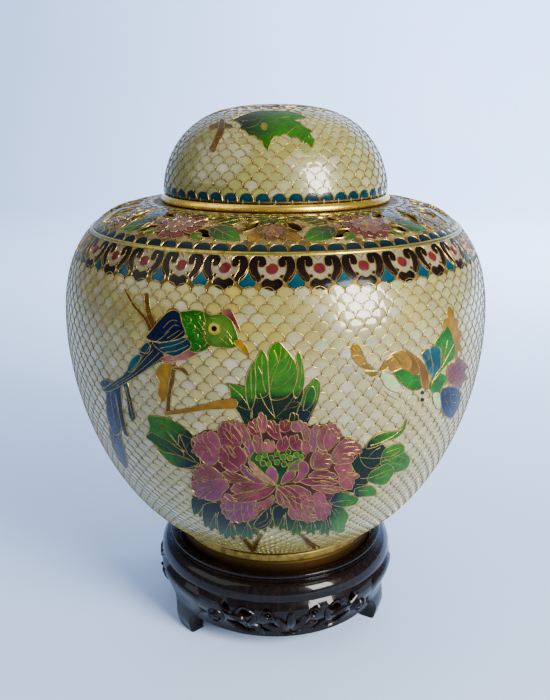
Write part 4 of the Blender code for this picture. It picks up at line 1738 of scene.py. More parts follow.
@dataclass
class Spray:
    """Draws leaves, petals and twigs on a chart. What is drawn later lies on top.

    Attributes:
        chart: Where it is drawn.
        enamel: Takes the coloured cells.
        wires: Takes the gold wires.
        taken: Takes the outlines that hide the ground.
        grain: Distance between the points inside a cell, in the chart's units.
        level: Height of the lowest cells above the surface.
        step: How much higher a cell lies than the one under it.
    """

    chart: HeightChart
    enamel: Inlay
    wires: Inlay
    taken: list[Path]
    grain: float = 1.6
    level: float = 0.19 * MM
    step: float = 0.012 * MM
    wire_width: float = 0.24 * MM
    wire_rise: float = 0.10 * MM
    cells: list[Cell] = field(default_factory=list)
    strands: list[Strand] = field(default_factory=list)

    def cell(self, outline: Path, tone: ToneAt, crown: float = 0.008 * MM, wired: bool = True) -> None:
        """Draw a cell and the wire around it.

        Args:
            outline: Corners of the cell.
            tone: Colour of each spot.
            crown: How much higher its middle stands.
            wired: False leaves the wire out.
        """
        self.cells.append(Cell(outline, tone, crown))
        self.taken.append([self.chart.mark(u, v) for u, v in outline])
        if wired:
            count = len(self.cells)
            self.strands.append(Strand(list(outline) + [outline[0]], count, count - 1, (1.0, 1.0)))

    def wire(self, path: Sequence[Spot], width: float = 0.8, end: float = 0.7) -> None:
        """Draw a wire on top of what is there."""
        self.strands.append(Strand(list(path), len(self.cells), -1, (width, width * end)))

    def lay(self) -> None:
        """Stack the cells in their order and lay the wires that stay in sight."""
        lifts: list[float] = []
        boxes = [(np.min(cell.outline, 0), np.max(cell.outline, 0)) for cell in self.cells]
        cores = [np.array(cell.outline) * 0.88 + np.mean(cell.outline, 0) * 0.12 for cell in self.cells]
        for index, cell in enumerate(self.cells):
            lift = self.level
            for below in range(index):
                apart = (boxes[below][0] > boxes[index][1]).any() or (boxes[below][1] < boxes[index][0]).any()
                if apart or lifts[below] + self.step <= lift:
                    continue
                if within(self.cells[below].outline, cores[index]).any() or within(cell.outline, cores[below]).any():
                    lift = lifts[below] + self.step
            lifts.append(lift)
            self.enamel.cell(self.chart, cell.outline, cell.tone, lift, cell.crown, self.grain)
        for strand in self.strands:
            self.lay_strand(strand, lifts, boxes)

    def lay_strand(self, strand: Strand, lifts: Sequence[float], boxes: Sequence[tuple]) -> None:
        """Lay the stretches of a wire that no later cell covers.

        Args:
            strand: The wire.
            lifts: Height of every cell.
            boxes: Lowest and highest coordinates of every cell.
        """
        spots = np.array(strand.path)
        seats = np.full(len(spots), self.level if strand.own < 0 else lifts[strand.own])
        hidden = np.zeros(len(spots), bool)
        for index, cell in enumerate(self.cells):
            if (boxes[index][0] > spots.max(0)).any() or (boxes[index][1] < spots.min(0)).any() or index == strand.own:
                continue
            under = within(cell.outline, spots)
            if index >= strand.after:
                hidden |= under
            elif strand.own < 0:
                seats = np.where(under, np.maximum(seats, lifts[index]), seats)
        closed = strand.own >= 0 and not hidden.any()
        for run in np.split(np.arange(len(spots)), np.nonzero(np.diff(hidden.astype(int)))[0] + 1):
            if hidden[run[0]] or len(run) < 2:
                continue
            kept = run[:-1] if closed else run
            path, seat = [strand.path[i] for i in kept], [seats[i] - 0.02 * MM for i in kept]
            width, end = strand.sizes
            sizes = (1.0, end / width)
            self.wires.ridge(self.chart, path, self.wire_width * width, self.wire_rise, seat, closed, sizes)

    def pool(self, middle: Glaze, edge: Glaze, points: Sequence[Spot]) -> None:
        """Draw a rounded cell whose colour pools in its middle."""
        outline = smoothed(points, 4, True)
        self.cell(outline, pooled(middle, edge, outline))

    def band(self, upper: Glaze, lower: Glaze, edge: float, soft: float, points: Sequence[Spot]) -> None:
        """Draw a rounded cell that changes its colour across a level of the picture."""
        self.cell(smoothed(points, 4, True), banded(upper, lower, edge, soft))

    def fade(self, start: Glaze, end: Glaze, base: Spot, tip: Spot, points: Sequence[Spot]) -> None:
        """Draw a rounded cell that changes its colour between two spots."""
        self.cell(smoothed(points, 4, True), fading(start, end, base, tip))

    def veins(self, width: float, *paths: Sequence[Spot]) -> None:
        """Draw smooth wires through a few points each."""
        for path in paths:
            self.wire(smoothed(path, 4), width)

    def leaf(
        self, base: Spot, tip: Spot, width: float, glazes: Sequence[Glaze], veins: int = 3, bend: float = 0.0
    ) -> None:
        """Draw a leaf with its midrib and side veins.

        Args:
            base: Where it grows from.
            tip: Its point.
            width: Greatest width.
            glazes: Enamel at the base and at the tip.
            veins: Side veins on each side.
            bend: Sideways bow of its middle, as a share of its length.
        """
        length = math.dist(base, tip)
        angle = math.degrees(math.atan2(tip[1] - base[1], tip[0] - base[0]))

        def bowed(path: Path) -> Path:
            bow = bend * length
            return placed([(x, y + bow * math.sin(math.pi * min(max(x / length, 0), 1))) for x, y in path], base, angle)

        self.cell(bowed(leaf_outline(length, width)), fading(*glazes, base, tip, 1.3))
        self.wire(bowed([(length * (0.03 + 0.90 * i / 8), 0.0) for i in range(9)]))
        for vein in range(veins):
            start = 0.14 + 0.55 * vein / veins
            for side in (-1, 1):
                reach = side * width * 0.40 * (1 - 0.45 * start)
                self.wire(bowed([(length * (start + 0.22 * s), reach * s**1.2) for s in (0, 0.35, 0.7, 1)]))

    def petal(self, base: Spot, angle: float, length: float, width: float, glazes: Sequence[Glaze]) -> None:
        """Draw a petal with a lobed edge and, where there is room, inner wires.

        Args:
            base: Where it grows from.
            angle: Its direction in degrees.
            length: Its length.
            width: Its greatest width.
            glazes: Enamel at the base and at the edge.
        """
        outline = petal_outline(length, width, 2)
        tip = placed([(length, 0.0)], base, angle)[0]
        self.cell(placed(outline, base, angle), fading(*glazes, base, tip, 0.8))
        if length > 5:
            inner = [(x * 0.72 + 0.10 * length, y * 0.58) for x, y in outline]
            self.wire(placed(inner, base, angle)[4:-4], 0.7, 1.0)

    def flower(
        self, middle: Spot, radius: float, petals: int, outer: tuple[Glaze, Glaze], inner: tuple[Glaze, Glaze]
    ) -> None:
        """Draw a round flower with two rings of petals.

        Args:
            middle: Its middle.
            radius: Its radius.
            petals: Petals in each ring.
            outer: Enamel of the outer petals, at the base and at the edge.
            inner: Enamel of the inner petals.
        """
        for share, glazes, shift in ((1.0, outer, 0.0), (0.62, inner, 0.5)):
            reach = radius * share
            self.cell(disc(middle, reach * 0.8, 18), plain(glazes[0]), 0.0, False)
            for index in range(petals):
                angle = 360.0 * (index + shift) / petals + 12.0
                self.petal(middle, angle, reach, 1.45 * math.pi * radius * share / petals, glazes)
        self.cell(disc(middle, radius * 0.2, 12), plain(Glaze.AMBER))

    def stem(self, glaze: Glaze, widths: Sequence[float], points: Sequence[Spot]) -> None:
        """Draw a twig through a few points."""
        self.cell(band_outline(smoothed(points, 4), widths), plain(glaze))

    def follow(self, notes: str, **more: Callable[..., None]) -> None:
        """Draw what notes say, such as 'pool PINE LEAF: 10,12 14,12 12,18;'.

        Args:
            notes: Kind, settings and, behind a colon, paths parted by bars. A semicolon ends each note.
            more: Further kinds by name.
        """
        kinds = {"pool": self.pool, "band": self.band, "fade": self.fade, "veins": self.veins, "stem": self.stem}
        kinds |= more
        for note in notes.split(";")[:-1]:
            words, paths = note.split(":")
            kind, *settings = words.split()
            kinds[kind](*map(read, settings), *map(path_of, paths.split("|")))


def read(word: str) -> Glaze | float | tuple[float, ...]:
    """Read an enamel, a number or several numbers between commas.

    Args:
        word: The text.

    Returns:
        The enamel, the number or the numbers.
    """
    if word[0].isalpha():
        return Glaze[word]
    numbers = tuple(float(part) for part in word.split(","))
    return numbers if len(numbers) > 1 else numbers[0]


def path_of(text: str) -> Path:
    """Read a path whose spots are parted by spaces."""
    return [read(word) for word in text.split()]


@dataclass
class Motif:
    """A figure drawn in points of the photograph's view.

    Attributes:
        spray: Draws its cells.
    """

    spray: Spray


@dataclass
class Peony(Motif):
    """The large peony with its leaves.

    Attributes:
        middle: Where the petals meet.
        lobe: Width of the lobes along a petal's edge.
        frill: How far the lobes stand out.
    """

    middle: Spot = (277.0, 482.0)
    lobe: float = 6.6
    frill: float = 1.9

    def draw(self) -> None:
        """Draw it from the leaves forward."""
        self.top_leaves()
        self.side_leaves()
        self.low_leaves()
        self.back_petals()
        self.left_petals()
        self.right_petals()
        self.low_petals()
        self.heart()

    def top_leaves(self) -> None:
        """Draw the five-lobed leaf above the flower and a small leaf on each side of it."""
        self.spray.follow("""
            pool PINE PINE: 238,397 247,399 255,391 263,389 272,395 285,395 296,387 303,389 301,402 298,412 302,424
            285,430 262,428 247,426 240,412;
            band LEAF PINE 397 3: 226,383 234,384 241,386 247,390 248,401 252,409 251,425 245,424 240,415 235,406
            231,396 229,388;
            veins 0.8: 229,384 240,394 247,403 251,409 | 234,401 241,407 250,410 | 251,409 251,421;
            band LEAF DEEP_TEAL 402 4: 315,378 319,382 320,389 319,396 316,405 312,413 307,424 301,423 297,412 300,404
            303,395 305,389 310,383;
            band GRASS DEEP_TEAL 403 4: 303,410 305,398 308,389 312,386 315,391 314,399 310,406;
            veins 0.8: 317,384 317,396 313,408 307,420;
            band LEAF PINE 400 4: 250,409 246,395 246,380 249,369 254,361 258,362 257,378 256,392 254,403;
            band LEAF PINE 393 4: 256,396 256,378 255,364 258,355 262,350 266,355 268,364 269,378 269,392 263,397;
            band LEAF PINE 393 4: 296,398 293,391 297,380 298,368 296,357 299,352 302,361 304,373 304,384 301,391;
            band LEAF PINE 393 4: 271,399 269,384 268,368 268,354 272,345 279,342 284,347 289,353 295,362 297,372
            296,383 291,392 284,398;
            veins 0.8: 268,359 268,375 269,388 271,400 275,418 | 288,353 284,358 276,363 271,371 269,378 | 292,358
            290,367 284,376 278,379 270,381 | 297,364 296,381 290,393 282,398 272,399 | 260,393 264,402 269,410
            275,417 | 302,390 294,396 288,405 282,411 275,418 | 301,401 296,406 288,408 283,410 | 281,345 280,356
            277,366 273,376 270,389 | 290,355 286,366 279,373 274,377 | 295,371 288,380 280,386 271,389 | 274,350
            277,358 278,364 | 262,354 262,368 263,382 266,392 | 258,366 262,374 | 301,359 301,374 299,388 | 251,368
            251,382 252,398 | 286,349 285,356 280,362;
        """)

    def side_leaves(self) -> None:
        """Draw the leaves at the left and right of the flower."""
        self.spray.follow("""
            pool PINE DEEP_TEAL: 176,428 186,432 196,440 202,456 198,467 182,467 176,450;
            fade LEAF PINE 166,424 186,438: 148,416 158,416 168,418 180,424 192,433 192,438 180,434 178,444 166,440
            155,434 148,436 150,426;
            fade GRASS DEEP_TEAL 165,442 184,452: 146,436 152,432 160,436 168,440 176,446 184,452 182,458 172,455
            160,448 152,441;
            fade LEAF DEEP_TEAL 170,457 188,462: 157,449 168,452 180,455 192,460 199,463 190,467 180,467 170,462;
            veins 0.8: 152,420 168,432 180,446 196,460 | 180,434 184,444 188,452 | 156,440 168,447 182,456 196,462 |
            160,422 172,428 182,436;
            pool PINE DEEP_TEAL: 348,453 360,450 370,443 386,447 384,463 374,473 366,484 354,492 344,488 350,472;
            fade PINE LEAF 370,442 386,436: 366,448 369,440 376,435 384,432 393,431 400,429 406,419 404,429 397,437
            386,441 376,446;
            fade DEEP_TEAL LEAF 378,458 388,458: 380,463 381,456 384,449 391,445 400,443 404,447 404,452 409,457
            408,465 402,470 393,472 386,470;
            fade GRASS LEAF 370,476 382,474: 367,480 370,472 378,467 387,463 393,468 391,476 384,484 374,483;
            fade DEEP_TEAL LEAF 356,490 368,490: 354,489 361,486 370,485 376,490 374,495 364,496 356,496;
            veins 0.8: 359,453 361,461 367,467 375,467 382,461 392,458 404,451 | 360,457 372,458 382,457 392,455
            400,450 | 368,457 373,451 380,447 | 370,445 380,442 392,436 402,428 | 360,478 370,477 382,472 392,468 |
            356,484 368,484 | 384,458 394,463 402,464 | 386,452 394,449 401,447 | 388,456 396,455 406,458 | 374,478
            383,476 388,471 | 358,490 368,490;
        """)

    def low_leaves(self) -> None:
        """Draw the leaves and stems under the flower."""
        self.spray.follow("""
            stem BARK 3.4,4.2,4.6: 241,536 247,542 254,550;
            stem BARK 3,4,4.4: 262,534 257,541 254,549;
            stem BARK 3.4,5,5.2: 302,535 309,542 317,547;
        """)
        for u, v, reach in ((205, 502, 15), (216, 510, 21), (231, 517, 22), (248, 519, 20), (262, 516, 15)):
            self.hanging_leaf(u, v, reach, 12)
        self.spray.follow("""
            pool PINE DEEP_TEAL: 262,510 268,506 273,511 272,519 267,526 259,529 254,524 258,517;
            veins 0.8: 270,508 272,515 267,523 257,528 | 267,511 267,518 259,523 | 262,513 258,518;
            pool PINE DEEP_TEAL: 272,502 280,503 290,508 290,519 284,522 276,519 271,512;
        """)
        for u, v, reach in ((284, 512, 18), (297, 513, 22), (311, 513, 21), (325, 511, 24)):
            self.hanging_leaf(u, v, reach, 10)
        self.spray.follow("""
            fade DEEP_TEAL LEAF 331,510 343,518: 331,506 338,504 344,508 348,515 345,522 343,530 337,532 332,526
            329,516;
            fade NAVY LEAF 334,497 350,500: 327,499 330,493 341,491 351,494 358,498 353,504 343,506 333,504;
            veins 0.8: 331,502 340,500 350,499 | 331,508 336,517 338,529 | 334,508 341,514;
        """)

    def hanging_leaf(self, u: float, v: float, reach: float, half: float) -> None:
        """Draw a leaf that hangs down, with a jagged green edge and three veins.

        Args:
            u: Pixels from the left to the leaf's stalk.
            v: Pixels from the top.
            reach: Length in pixels.
            half: Half its width in pixels.
        """
        edge = path_of("1,0.42 0.85,0.8 0.45,0.7 0.3,1 -0.08,0.86 -0.4,0.98 -0.6,0.74 -0.95,0.72")
        points = [(u - half, v - 6), (u + half, v - 6)] + [(u + half * x, v + reach * y) for x, y in edge]
        self.spray.band(Glaze.DEEP_TEAL, Glaze.GRASS, v + reach * 0.52, reach * 0.26, points)
        for side in (-0.55, 0.0, 0.5):
            bend, tip = (u + half * side * 0.5, v + reach * 0.45), (u + half * side, v + reach * 0.8)
            self.spray.veins(0.8, [(u, v + reach * 0.1), bend, tip])

    def petal(self, middle: Glaze, edge: Glaze, points: Sequence[Spot]) -> None:
        """Draw a petal with lobes along its outer edge and a rib from each notch.

        Args:
            middle: Enamel in the middle.
            edge: Enamel along the edge.
            points: Points around the petal.
        """
        outline = np.array(smoothed(points, 6, True))
        away = np.hypot(*(outline - self.middle).T)
        outline, away = np.roll(outline, -int(away.argmin()), 0), np.roll(away, -int(away.argmin()))
        core, base = outline.mean(0), outline[0].copy()
        far = np.nonzero(away > away.mean())[0]
        run = np.arange(far[0], far[-1] + 1)
        travel = np.concatenate(([0.0], np.cumsum(np.hypot(*np.diff(outline[run], axis=0).T))))
        lobes = max(round(travel[-1] / self.lobe), 1)
        phase = lobes * travel / travel[-1]
        fade = np.minimum(1.0, 2.0 * np.minimum(phase, lobes - phase))
        swell = self.frill * (np.abs(np.sin(math.pi * phase)) - 0.5) * fade
        ray = outline[run] - core
        outline[run] += ray / np.hypot(*ray.T)[:, None] * swell[:, None]
        edge_path = [(float(u), float(v)) for u, v in outline]
        self.spray.cell(edge_path, pooled(middle, edge, edge_path))
        for notch in range(1, lobes):
            tip = outline[run[int(np.abs(phase - notch).argmin())]]
            reach = (base * 0.6 + core * 0.4 - tip) * (0.78 if notch % 2 else 0.5)
            bow = np.array((-reach[1], reach[0])) * (0.12 if notch * 2 > lobes else -0.12)
            rib = [tuple(tip + reach * share + bow * 4 * share * (1 - share)) for share in (0.0, 0.35, 0.7, 1.0)]
            self.spray.veins(0.7, rib)

    def back_petals(self) -> None:
        """Draw the flower's dark ground and the row of petals along its top."""
        self.spray.follow("""
            pool UMBER WINE: 193,437 207,431 219,430 226,421 240,422 251,424 262,418 278,423 293,421 307,424 320,425
            333,423 342,435 358,444 357,454 351,463 355,474 351,487 336,491 328,503 327,514 312,520 297,518 289,509
            277,500 268,507 250,520 228,518 222,504 200,496 192,485 194,470 201,463 198,452 193,446;
            petal MAUVE DUSK: 230,421 238,421 245,426 249,433 251,440 246,445 242,440 238,430 232,425;
            petal WINE MAUVE: 219,441 218,431 221,424 226,421 232,424 238,430 242,438 240,445 233,447 228,444 223,445;
            petal WINE MAUVE: 249,429 248,424 252,420 257,419 259,427 262,438 257,436 251,433;
            petal WINE MAUVE: 264,425 268,420 274,421 279,426 280,433 281,438 275,438 269,433;
            petal MAUVE ROSE: 258,421 258,415 261,412 265,415 267,421 266,429 263,432 259,427;
            petal PINE UMBER: 289,421 290,415 293,412 297,415 299,422 294,424;
            petal RED WINE: 279,425 282,420 287,420 291,422 291,427 286,431 281,430;
            petal LILAC DUSK: 291,428 292,422 298,420 304,422 308,427 308,436 306,441 303,438 301,431 295,431;
            petal ORCHID LILAC: 309,449 309,438 311,429 315,424 319,425 317,434 317,444 314,450;
            petal MAUVE DUSK: 318,447 316,437 319,429 325,425 331,421 337,427 341,434 337,441 327,450;
            petal LILAC MAUVE: 323,441 325,433 329,428 334,430 337,435 333,442 326,449;
            veins 0.6: 233,433 237,438 240,443 | 224,430 228,437 234,443 | 261,418 262,428 | 320,430 319,439 322,446;
        """, petal=self.petal)

    def left_petals(self) -> None:
        """Draw the lobed petals of the flower's left side."""
        self.spray.follow("""
            petal MAUVE LILAC: 194,438 200,434 207,431 214,431 219,437 221,447 219,458 213,464 205,462 199,455 193,450
            196,444;
            veins 0.7: 196,440 203,438 211,441 218,449 | 194,448 202,444 209,447 213,456 | 201,456 205,450 209,452;
            petal WINE MAUVE: 219,457 220,448 224,444 229,446 233,448 238,445 243,449 247,456 245,462 238,470 228,469
            222,463;
            veins 0.7: 222,460 227,459 234,464 239,468 | 224,449 228,453 229,459;
            petal MAUVE DUSK: 193,474 196,467 204,464 212,466 219,471 223,476 212,479 200,480;
            petal ORCHID LILAC: 192,486 194,480 202,479 212,479 220,477 227,480 229,486 223,492 220,498 213,500
            206,497 199,497 195,492;
            veins 0.7: 199,470 208,471 218,475 | 196,484 208,481 218,480 | 202,491 212,487 224,484 | 201,475 209,475
            214,477;
            petal WINE DUSK: 223,472 228,470 236,472 244,476 250,480 240,481 229,480;
            petal ORCHID MAUVE: 245,448 246,442 250,441 254,446 254,453 251,458 247,454;
            petal BLUSH DUSK: 249,457 255,461 259,468 268,477 277,483 266,481 256,473 250,465;
            petal ORCHID MAUVE: 241,466 244,464 249,468 256,475 265,482 256,482 248,477 243,472;
            petal WINE LILAC: 232,488 235,483 246,481 257,482 268,483 262,487 248,490 236,492;
            petal MAUVE WINE: 230,498 236,493 248,491 262,488 276,484 270,493 260,498 246,501 234,501;
            veins 0.7: 236,487 248,485 260,485 274,484 | 236,497 250,495 262,492 272,487;
        """, petal=self.petal)

    def right_petals(self) -> None:
        """Draw the striped petals of the flower's right side."""
        self.spray.follow("""
            petal MAUVE DUSK: 330,460 333,450 338,443 345,438 352,439 360,445 360,452 353,454 352,461 341,464;
            veins 0.8: 333,457 338,450 346,446 357,446 | 332,452 337,446 344,442 354,441 | 338,461 343,456 350,452 |
            334,462 342,458 349,458;
            petal ROSE MAUVE: 334,466 342,463 350,464 352,471 359,474 353,480 351,487 344,488 339,483 338,474;
            veins 0.8: 342,474 348,471 356,473 | 341,481 346,477 352,478;
            petal WINE DUSK: 310,460 313,452 319,449 326,451 330,456 331,463 326,467 318,468 312,467;
            veins 0.8: 313,464 314,457 319,452 | 317,449 322,453 328,452;
            petal WINE DUSK: 308,476 314,470 323,469 332,472 337,476 330,478 319,477;
            petal DUSK MAUVE: 311,486 322,484 333,485 341,488 334,492 322,491;
            petal WINE MAUVE: 300,480 308,477 320,477 331,478 337,481 331,484 320,484 308,484;
        """, petal=self.petal)

    def low_petals(self) -> None:
        """Draw the petals that hang below the flower's middle."""
        self.spray.follow("""
            petal ORCHID LILAC: 223,496 230,493 236,500 247,501 256,500 259,507 257,514 249,519 237,521 228,517
            222,508;
            veins 0.8: 227,499 226,507 229,515 | 235,502 234,510 237,519 | 242,503 242,512 244,519 | 248,503 248,510
            251,517 | 253,502 254,511;
            petal MAUVE DUSK: 254,508 257,502 265,499 273,494 273,500 266,506 259,510;
            petal LILAC MAUVE: 314,509 313,500 313,494 318,491 324,494 325,500 330,505 329,512 323,519 317,517;
            petal LILAC MAUVE: 288,512 290,506 297,506 302,512 299,518 292,517;
            petal LILAC DUSK: 302,510 308,513 315,514 315,519 306,521 302,516;
            petal MAUVE DUSK: 281,486 292,484 302,486 310,492 314,501 312,510 308,515 302,510 301,500 294,491;
            petal WINE MAUVE: 277,486 286,485 293,488 299,494 301,502 298,508 292,507 289,500 284,493;
            petal WINE DUSK: 277,488 282,492 287,498 290,505 284,506 278,501 276,494;
            veins 0.8: 304,491 308,499 307,509 | 288,489 294,495 296,503 | 280,492 283,498 285,504;
        """, petal=self.petal)

    def heart(self) -> None:
        """Draw the small petals and green beads of the flower's middle."""
        self.spray.follow("""
            pool PINE GRASS: 250,458 256,450 268,449 282,449 296,449 306,453 300,462 290,472 278,484 266,474 256,464;
            petal MAUVE DUSK: 253,437 257,435 261,438 263,445 262,451 257,452 254,446;
            petal ROSE DUSK: 262,443 267,439 273,441 275,446 273,451 267,451 263,450;
            petal WINE MAUVE: 276,444 280,439 285,436 289,439 289,445 284,450 278,450;
            petal WINE MAUVE: 289,438 294,434 298,436 301,442 300,449 293,449 290,445;
            petal LILAC MAUVE: 302,443 305,439 309,443 310,449 306,453 302,451;
        """, petal=self.petal)
        beads = ((259, 457, 3.1), (265, 454, 2.8), (271, 457, 3.0), (277, 453, 2.8), (283, 456, 3.2), (288, 451, 2.6),
                 (290, 457, 2.8), (296, 454, 2.8), (263, 462, 2.9), (269, 463, 2.7), (277, 461, 3.0), (284, 463, 2.8),
                 (290, 464, 2.6), (301, 456, 2.4))
        greens = (Glaze.LEAF, Glaze.EMERALD, Glaze.GRASS)
        for index, (u, v, radius) in enumerate(beads):
            self.spray.cell(disc((u, v), radius, 10), plain(greens[index % 3]), 0.08 * MM)
        self.spray.follow("""
            pool DUSK LEAF: 287,470 290,464 296,459 301,460 299,467 294,471;
            pool LILAC MAUVE: 298,463 303,460 308,464 308,470 304,476 297,481 293,480 298,473;
            pool MAUVE LILAC: 281,482 283,475 288,470 295,470 294,476 288,480;
            pool ORCHID LILAC: 266,472 269,466 272,465 276,469 278,475 276,482 271,478;
            veins 1: 265,475 271,480 277,484 | 281,484 290,481 300,481 | 277,484 276,492 274,500 | 277,484 284,487
            290,492 | 264,483 277,484;
        """)


@dataclass
class Bird(Motif):
    """A long-tailed bird on a branch, facing right."""

    def draw(self) -> None:
        """Draw the branch, the tail, the body and the head."""
        self.branch()
        self.tail()
        self.body()
        self.head()

    def branch(self) -> None:
        """Draw the branch, the twigs above the bird and its leg."""
        self.spray.follow("""
            stem BARK 2,3,3.6,4.4: 126,290 131,300 139,311 147,320 151,330;
            stem BARK 4.6,5.4,5.4: 147,295 148,308 152,321 157,329;
            stem BARK 4,4.6,4,4.6: 174,366 173,378 170,390 169,402 168,413;
            stem AMBER 3,4,5,7,10: 166,413 182,411 198,408 214,405 233,403;
            stem BARK 2.6,3.2,2.2: 175,368 182,369 188,374;
            pool OCHRE AMBER: 156,374 160,366 167,363 173,366 170,374 169,386 167,397 162,401 158,393 160,383;
        """)

    def tail(self) -> None:
        """Draw the long tail and the feathers that hang from it."""
        self.spray.follow("""
            pool SLATE FEATHER: 110,426 117,430 122,437 125,449 128,461 127,468 121,461 115,450 111,438;
            pool FEATHER SLATE: 108,386 114,388 118,396 120,408 122,421 121,432 115,434 110,424 107,410 107,396;
            pool NAVY FEATHER: 116,388 121,385 122,397 124,412 127,428 129,436 124,432 120,415;
            pool NAVY TEAL: 123,384 128,383 131,394 134,407 136,417 132,421 129,413 127,397;
            pool FEATHER SLATE: 101,382 107,379 113,383 110,388 104,387;
            fade NAVY TEAL 152,352 110,388: 152,341 161,348 164,357 155,365 145,371 134,378 122,385 110,391 104,389
            115,381 126,373 134,361 143,349;
            pool TEAL NAVY: 141,351 143,346 148,342 151,347 148,353;
            pool LAGOON TEAL: 128,370 131,361 137,355 142,355 139,363 133,371;
            veins 0.75: 160,343 146,358 132,373 112,386 | 162,350 150,362 134,375 116,386 | 163,357 150,367 132,380 |
            152,344 142,358 130,372;
            veins 0.6: 111,392 113,408 117,428 | 115,392 118,408 119,424 | 114,436 119,449 125,463 | 126,386 130,402
            133,416;
        """)

    def body(self) -> None:
        """Draw the breast, the neck and the folded wing."""
        self.spray.follow("""
            pool BLUSH MAUVE: 161,359 168,355 179,353 190,350 199,352 192,357 181,360 169,362;
            pool EMERALD GRASS: 180,313 187,311 196,310 204,312 208,320 208,334 210,346 203,351 195,352 189,349
            189,340 184,328;
            pool TEAL NAVY: 153,342 163,341 174,340 184,337 190,341 191,347 184,352 176,356 167,354 159,349;
            pool NAVY NAVY: 147,338 152,330 160,320 167,313 174,310 180,313 182,322 186,333 182,338 171,341 159,342;
            veins 0.7: 164,328 168,323 173,320 178,321 | 165,334 170,329 175,325 180,326 | 156,342 163,337 170,331 |
            159,343 170,341 178,336 184,331 | 161,348 171,346 180,343 187,339 | 166,352 175,351 183,348 189,345 |
            168,338 174,334 180,330;
        """)

    def head(self) -> None:
        """Draw the head, the crest, the beak and the eye."""
        self.spray.follow("""
            pool MOSS GRASS: 204,312 210,315 218,314 226,315 231,320 235,328 238,337 238,345 231,348 223,347 214,346
            207,342 204,334 206,324;
            pool WINE DUSK: 222,312 226,309 231,310 235,317 239,326 240,332 236,328 231,320;
            pool OCHRE AMBER: 234,342 239,340 244,343 248,349 249,355 243,352 238,347;
        """)
        for radius, glaze, crown in ((6.0, Glaze.IVORY, 0.0), (2.8, Glaze.INK, 0.05 * MM)):
            self.spray.cell(disc((214.5, 328.5), radius, 14), plain(glaze), crown, radius > 3)
        self.spray.follow("""
            veins 0.6: 197,327 202,333 208,338 | 199,322 203,328 206,334 | 222,326 227,331 232,338 | 223,333 229,338
            233,344 | 220,337 224,341 229,345 | 211,339 217,342 222,344 | 210,318 218,319 226,323;
        """)
        for u, v in ((186, 316), (195, 314), (190, 323), (199, 320), (193, 332), (201, 338), (195, 343), (204, 345)):
            self.spray.veins(0.6, [(u, v), (u + 4.5, v + 1.5), (u + 5.5, v + 5.5), (u + 2.5, v + 8.0)])


@dataclass
class Butterfly(Motif):
    """A butterfly with a curled feeler."""

    def draw(self) -> None:
        """Draw the feeler, the lower wings, the upper wings and the body."""
        self.spray.follow("""
            pool OCHRE AMBER: 351,351 352,346 356,344 360,348 362,355 366,363 371,370 364,369 357,364 352,357;
            pool AMBER MOSS: 364,371 371,371 378,371 374,377 369,375;
            pool CELADON MIST: 380,376 384,372 392,374 396,379 403,389 396,392 388,389 383,383;
            pool EMERALD GRASS: 393,373 399,369 405,368 412,372 418,374 420,381 421,388 413,390 406,387 399,381;
        """)
        self.arch()
        self.upper_wing()
        self.lower_wing()
        for v in (392.5, 399.5):
            self.spray.cell(disc((422, v), 1.9, 9), plain(Glaze.UMBER), 0.05 * MM, False)
        self.spray.follow("""
            veins 0.8: 378,371 383,363 389,356 396,351 | 384,391 390,396 398,400 | 373,371 375,377 372,382 | 350,349
            355,343 361,350 368,364 378,371;
        """)

    def arch(self) -> None:
        """Draw the scalloped ochre wing in front."""
        self.spray.follow("""
            pool AMBER OCHRE: 380,370 384,363 390,356 396,359 401,367 396,370 391,371 388,367 384,370;
            pool AMBER OCHRE: 385,360 391,354 399,351 406,353 411,359 412,368 408,371 402,368 399,361 393,356;
            pool BARK AMBER: 404,351 411,353 417,359 419,367 418,374 412,374 409,370 411,362;
            pool BARK AMBER: 413,355 420,360 425,367 428,377 427,389 422,386 420,377 418,366;
            veins 0.7: 388,361 394,362 399,366 | 396,354 403,358 407,366;
        """)

    def upper_wing(self) -> None:
        """Draw the teal, green and ochre cells of the raised wing."""
        self.spray.follow("""
            pool OCHRE AMBER: 443,330 442,322 446,318 446,311 449,307 453,312 454,318 458,321 457,328 461,333 459,341
            461,349 457,352 457,360 452,352 451,339;
            veins 0.6: 448,313 450,322 452,332 | 453,320 455,330 455,342;
            pool EMERALD GRASS: 433,346 437,338 443,331 447,326 451,334 454,345 454,355 448,362 440,373 430,389
            429,382 439,368 441,355 439,347;
            pool TEAL LAGOON: 421,354 427,349 431,353 433,363 431,375 427,370 424,361;
            pool TEAL LAGOON: 429,349 435,346 440,350 440,359 440,367 436,373 432,379 432,364;
            veins 0.7: 441,368 444,354 447,340 | 441,367 448,354 453,344 | 431,382 441,370 452,358 | 438,341 442,346
            442,356;
        """)

    def lower_wing(self) -> None:
        """Draw the green, rose and slate cells behind the body."""
        self.spray.follow("""
            pool WINE DUSK: 446,372 449,364 454,363 458,358 463,361 467,366 464,372 467,378 462,382 460,388 453,386
            447,381;
            veins 0.6: 448,378 454,373 462,366 | 449,382 456,380 464,376;
            pool GRASS EMERALD: 430,387 434,379 440,374 447,377 443,384 439,391 433,394;
            pool CELADON MIST: 432,394 438,392 441,400 439,409 434,405;
            pool NAVY FEATHER: 440,391 447,387 455,387 459,392 459,402 455,412 449,418 442,412 440,401;
            veins 0.6: 444,390 445,400 449,413 | 448,389 450,399 452,409 | 453,389 455,396 456,404 | 443,397 450,394
            458,395 | 444,405 450,402 457,403;
        """)


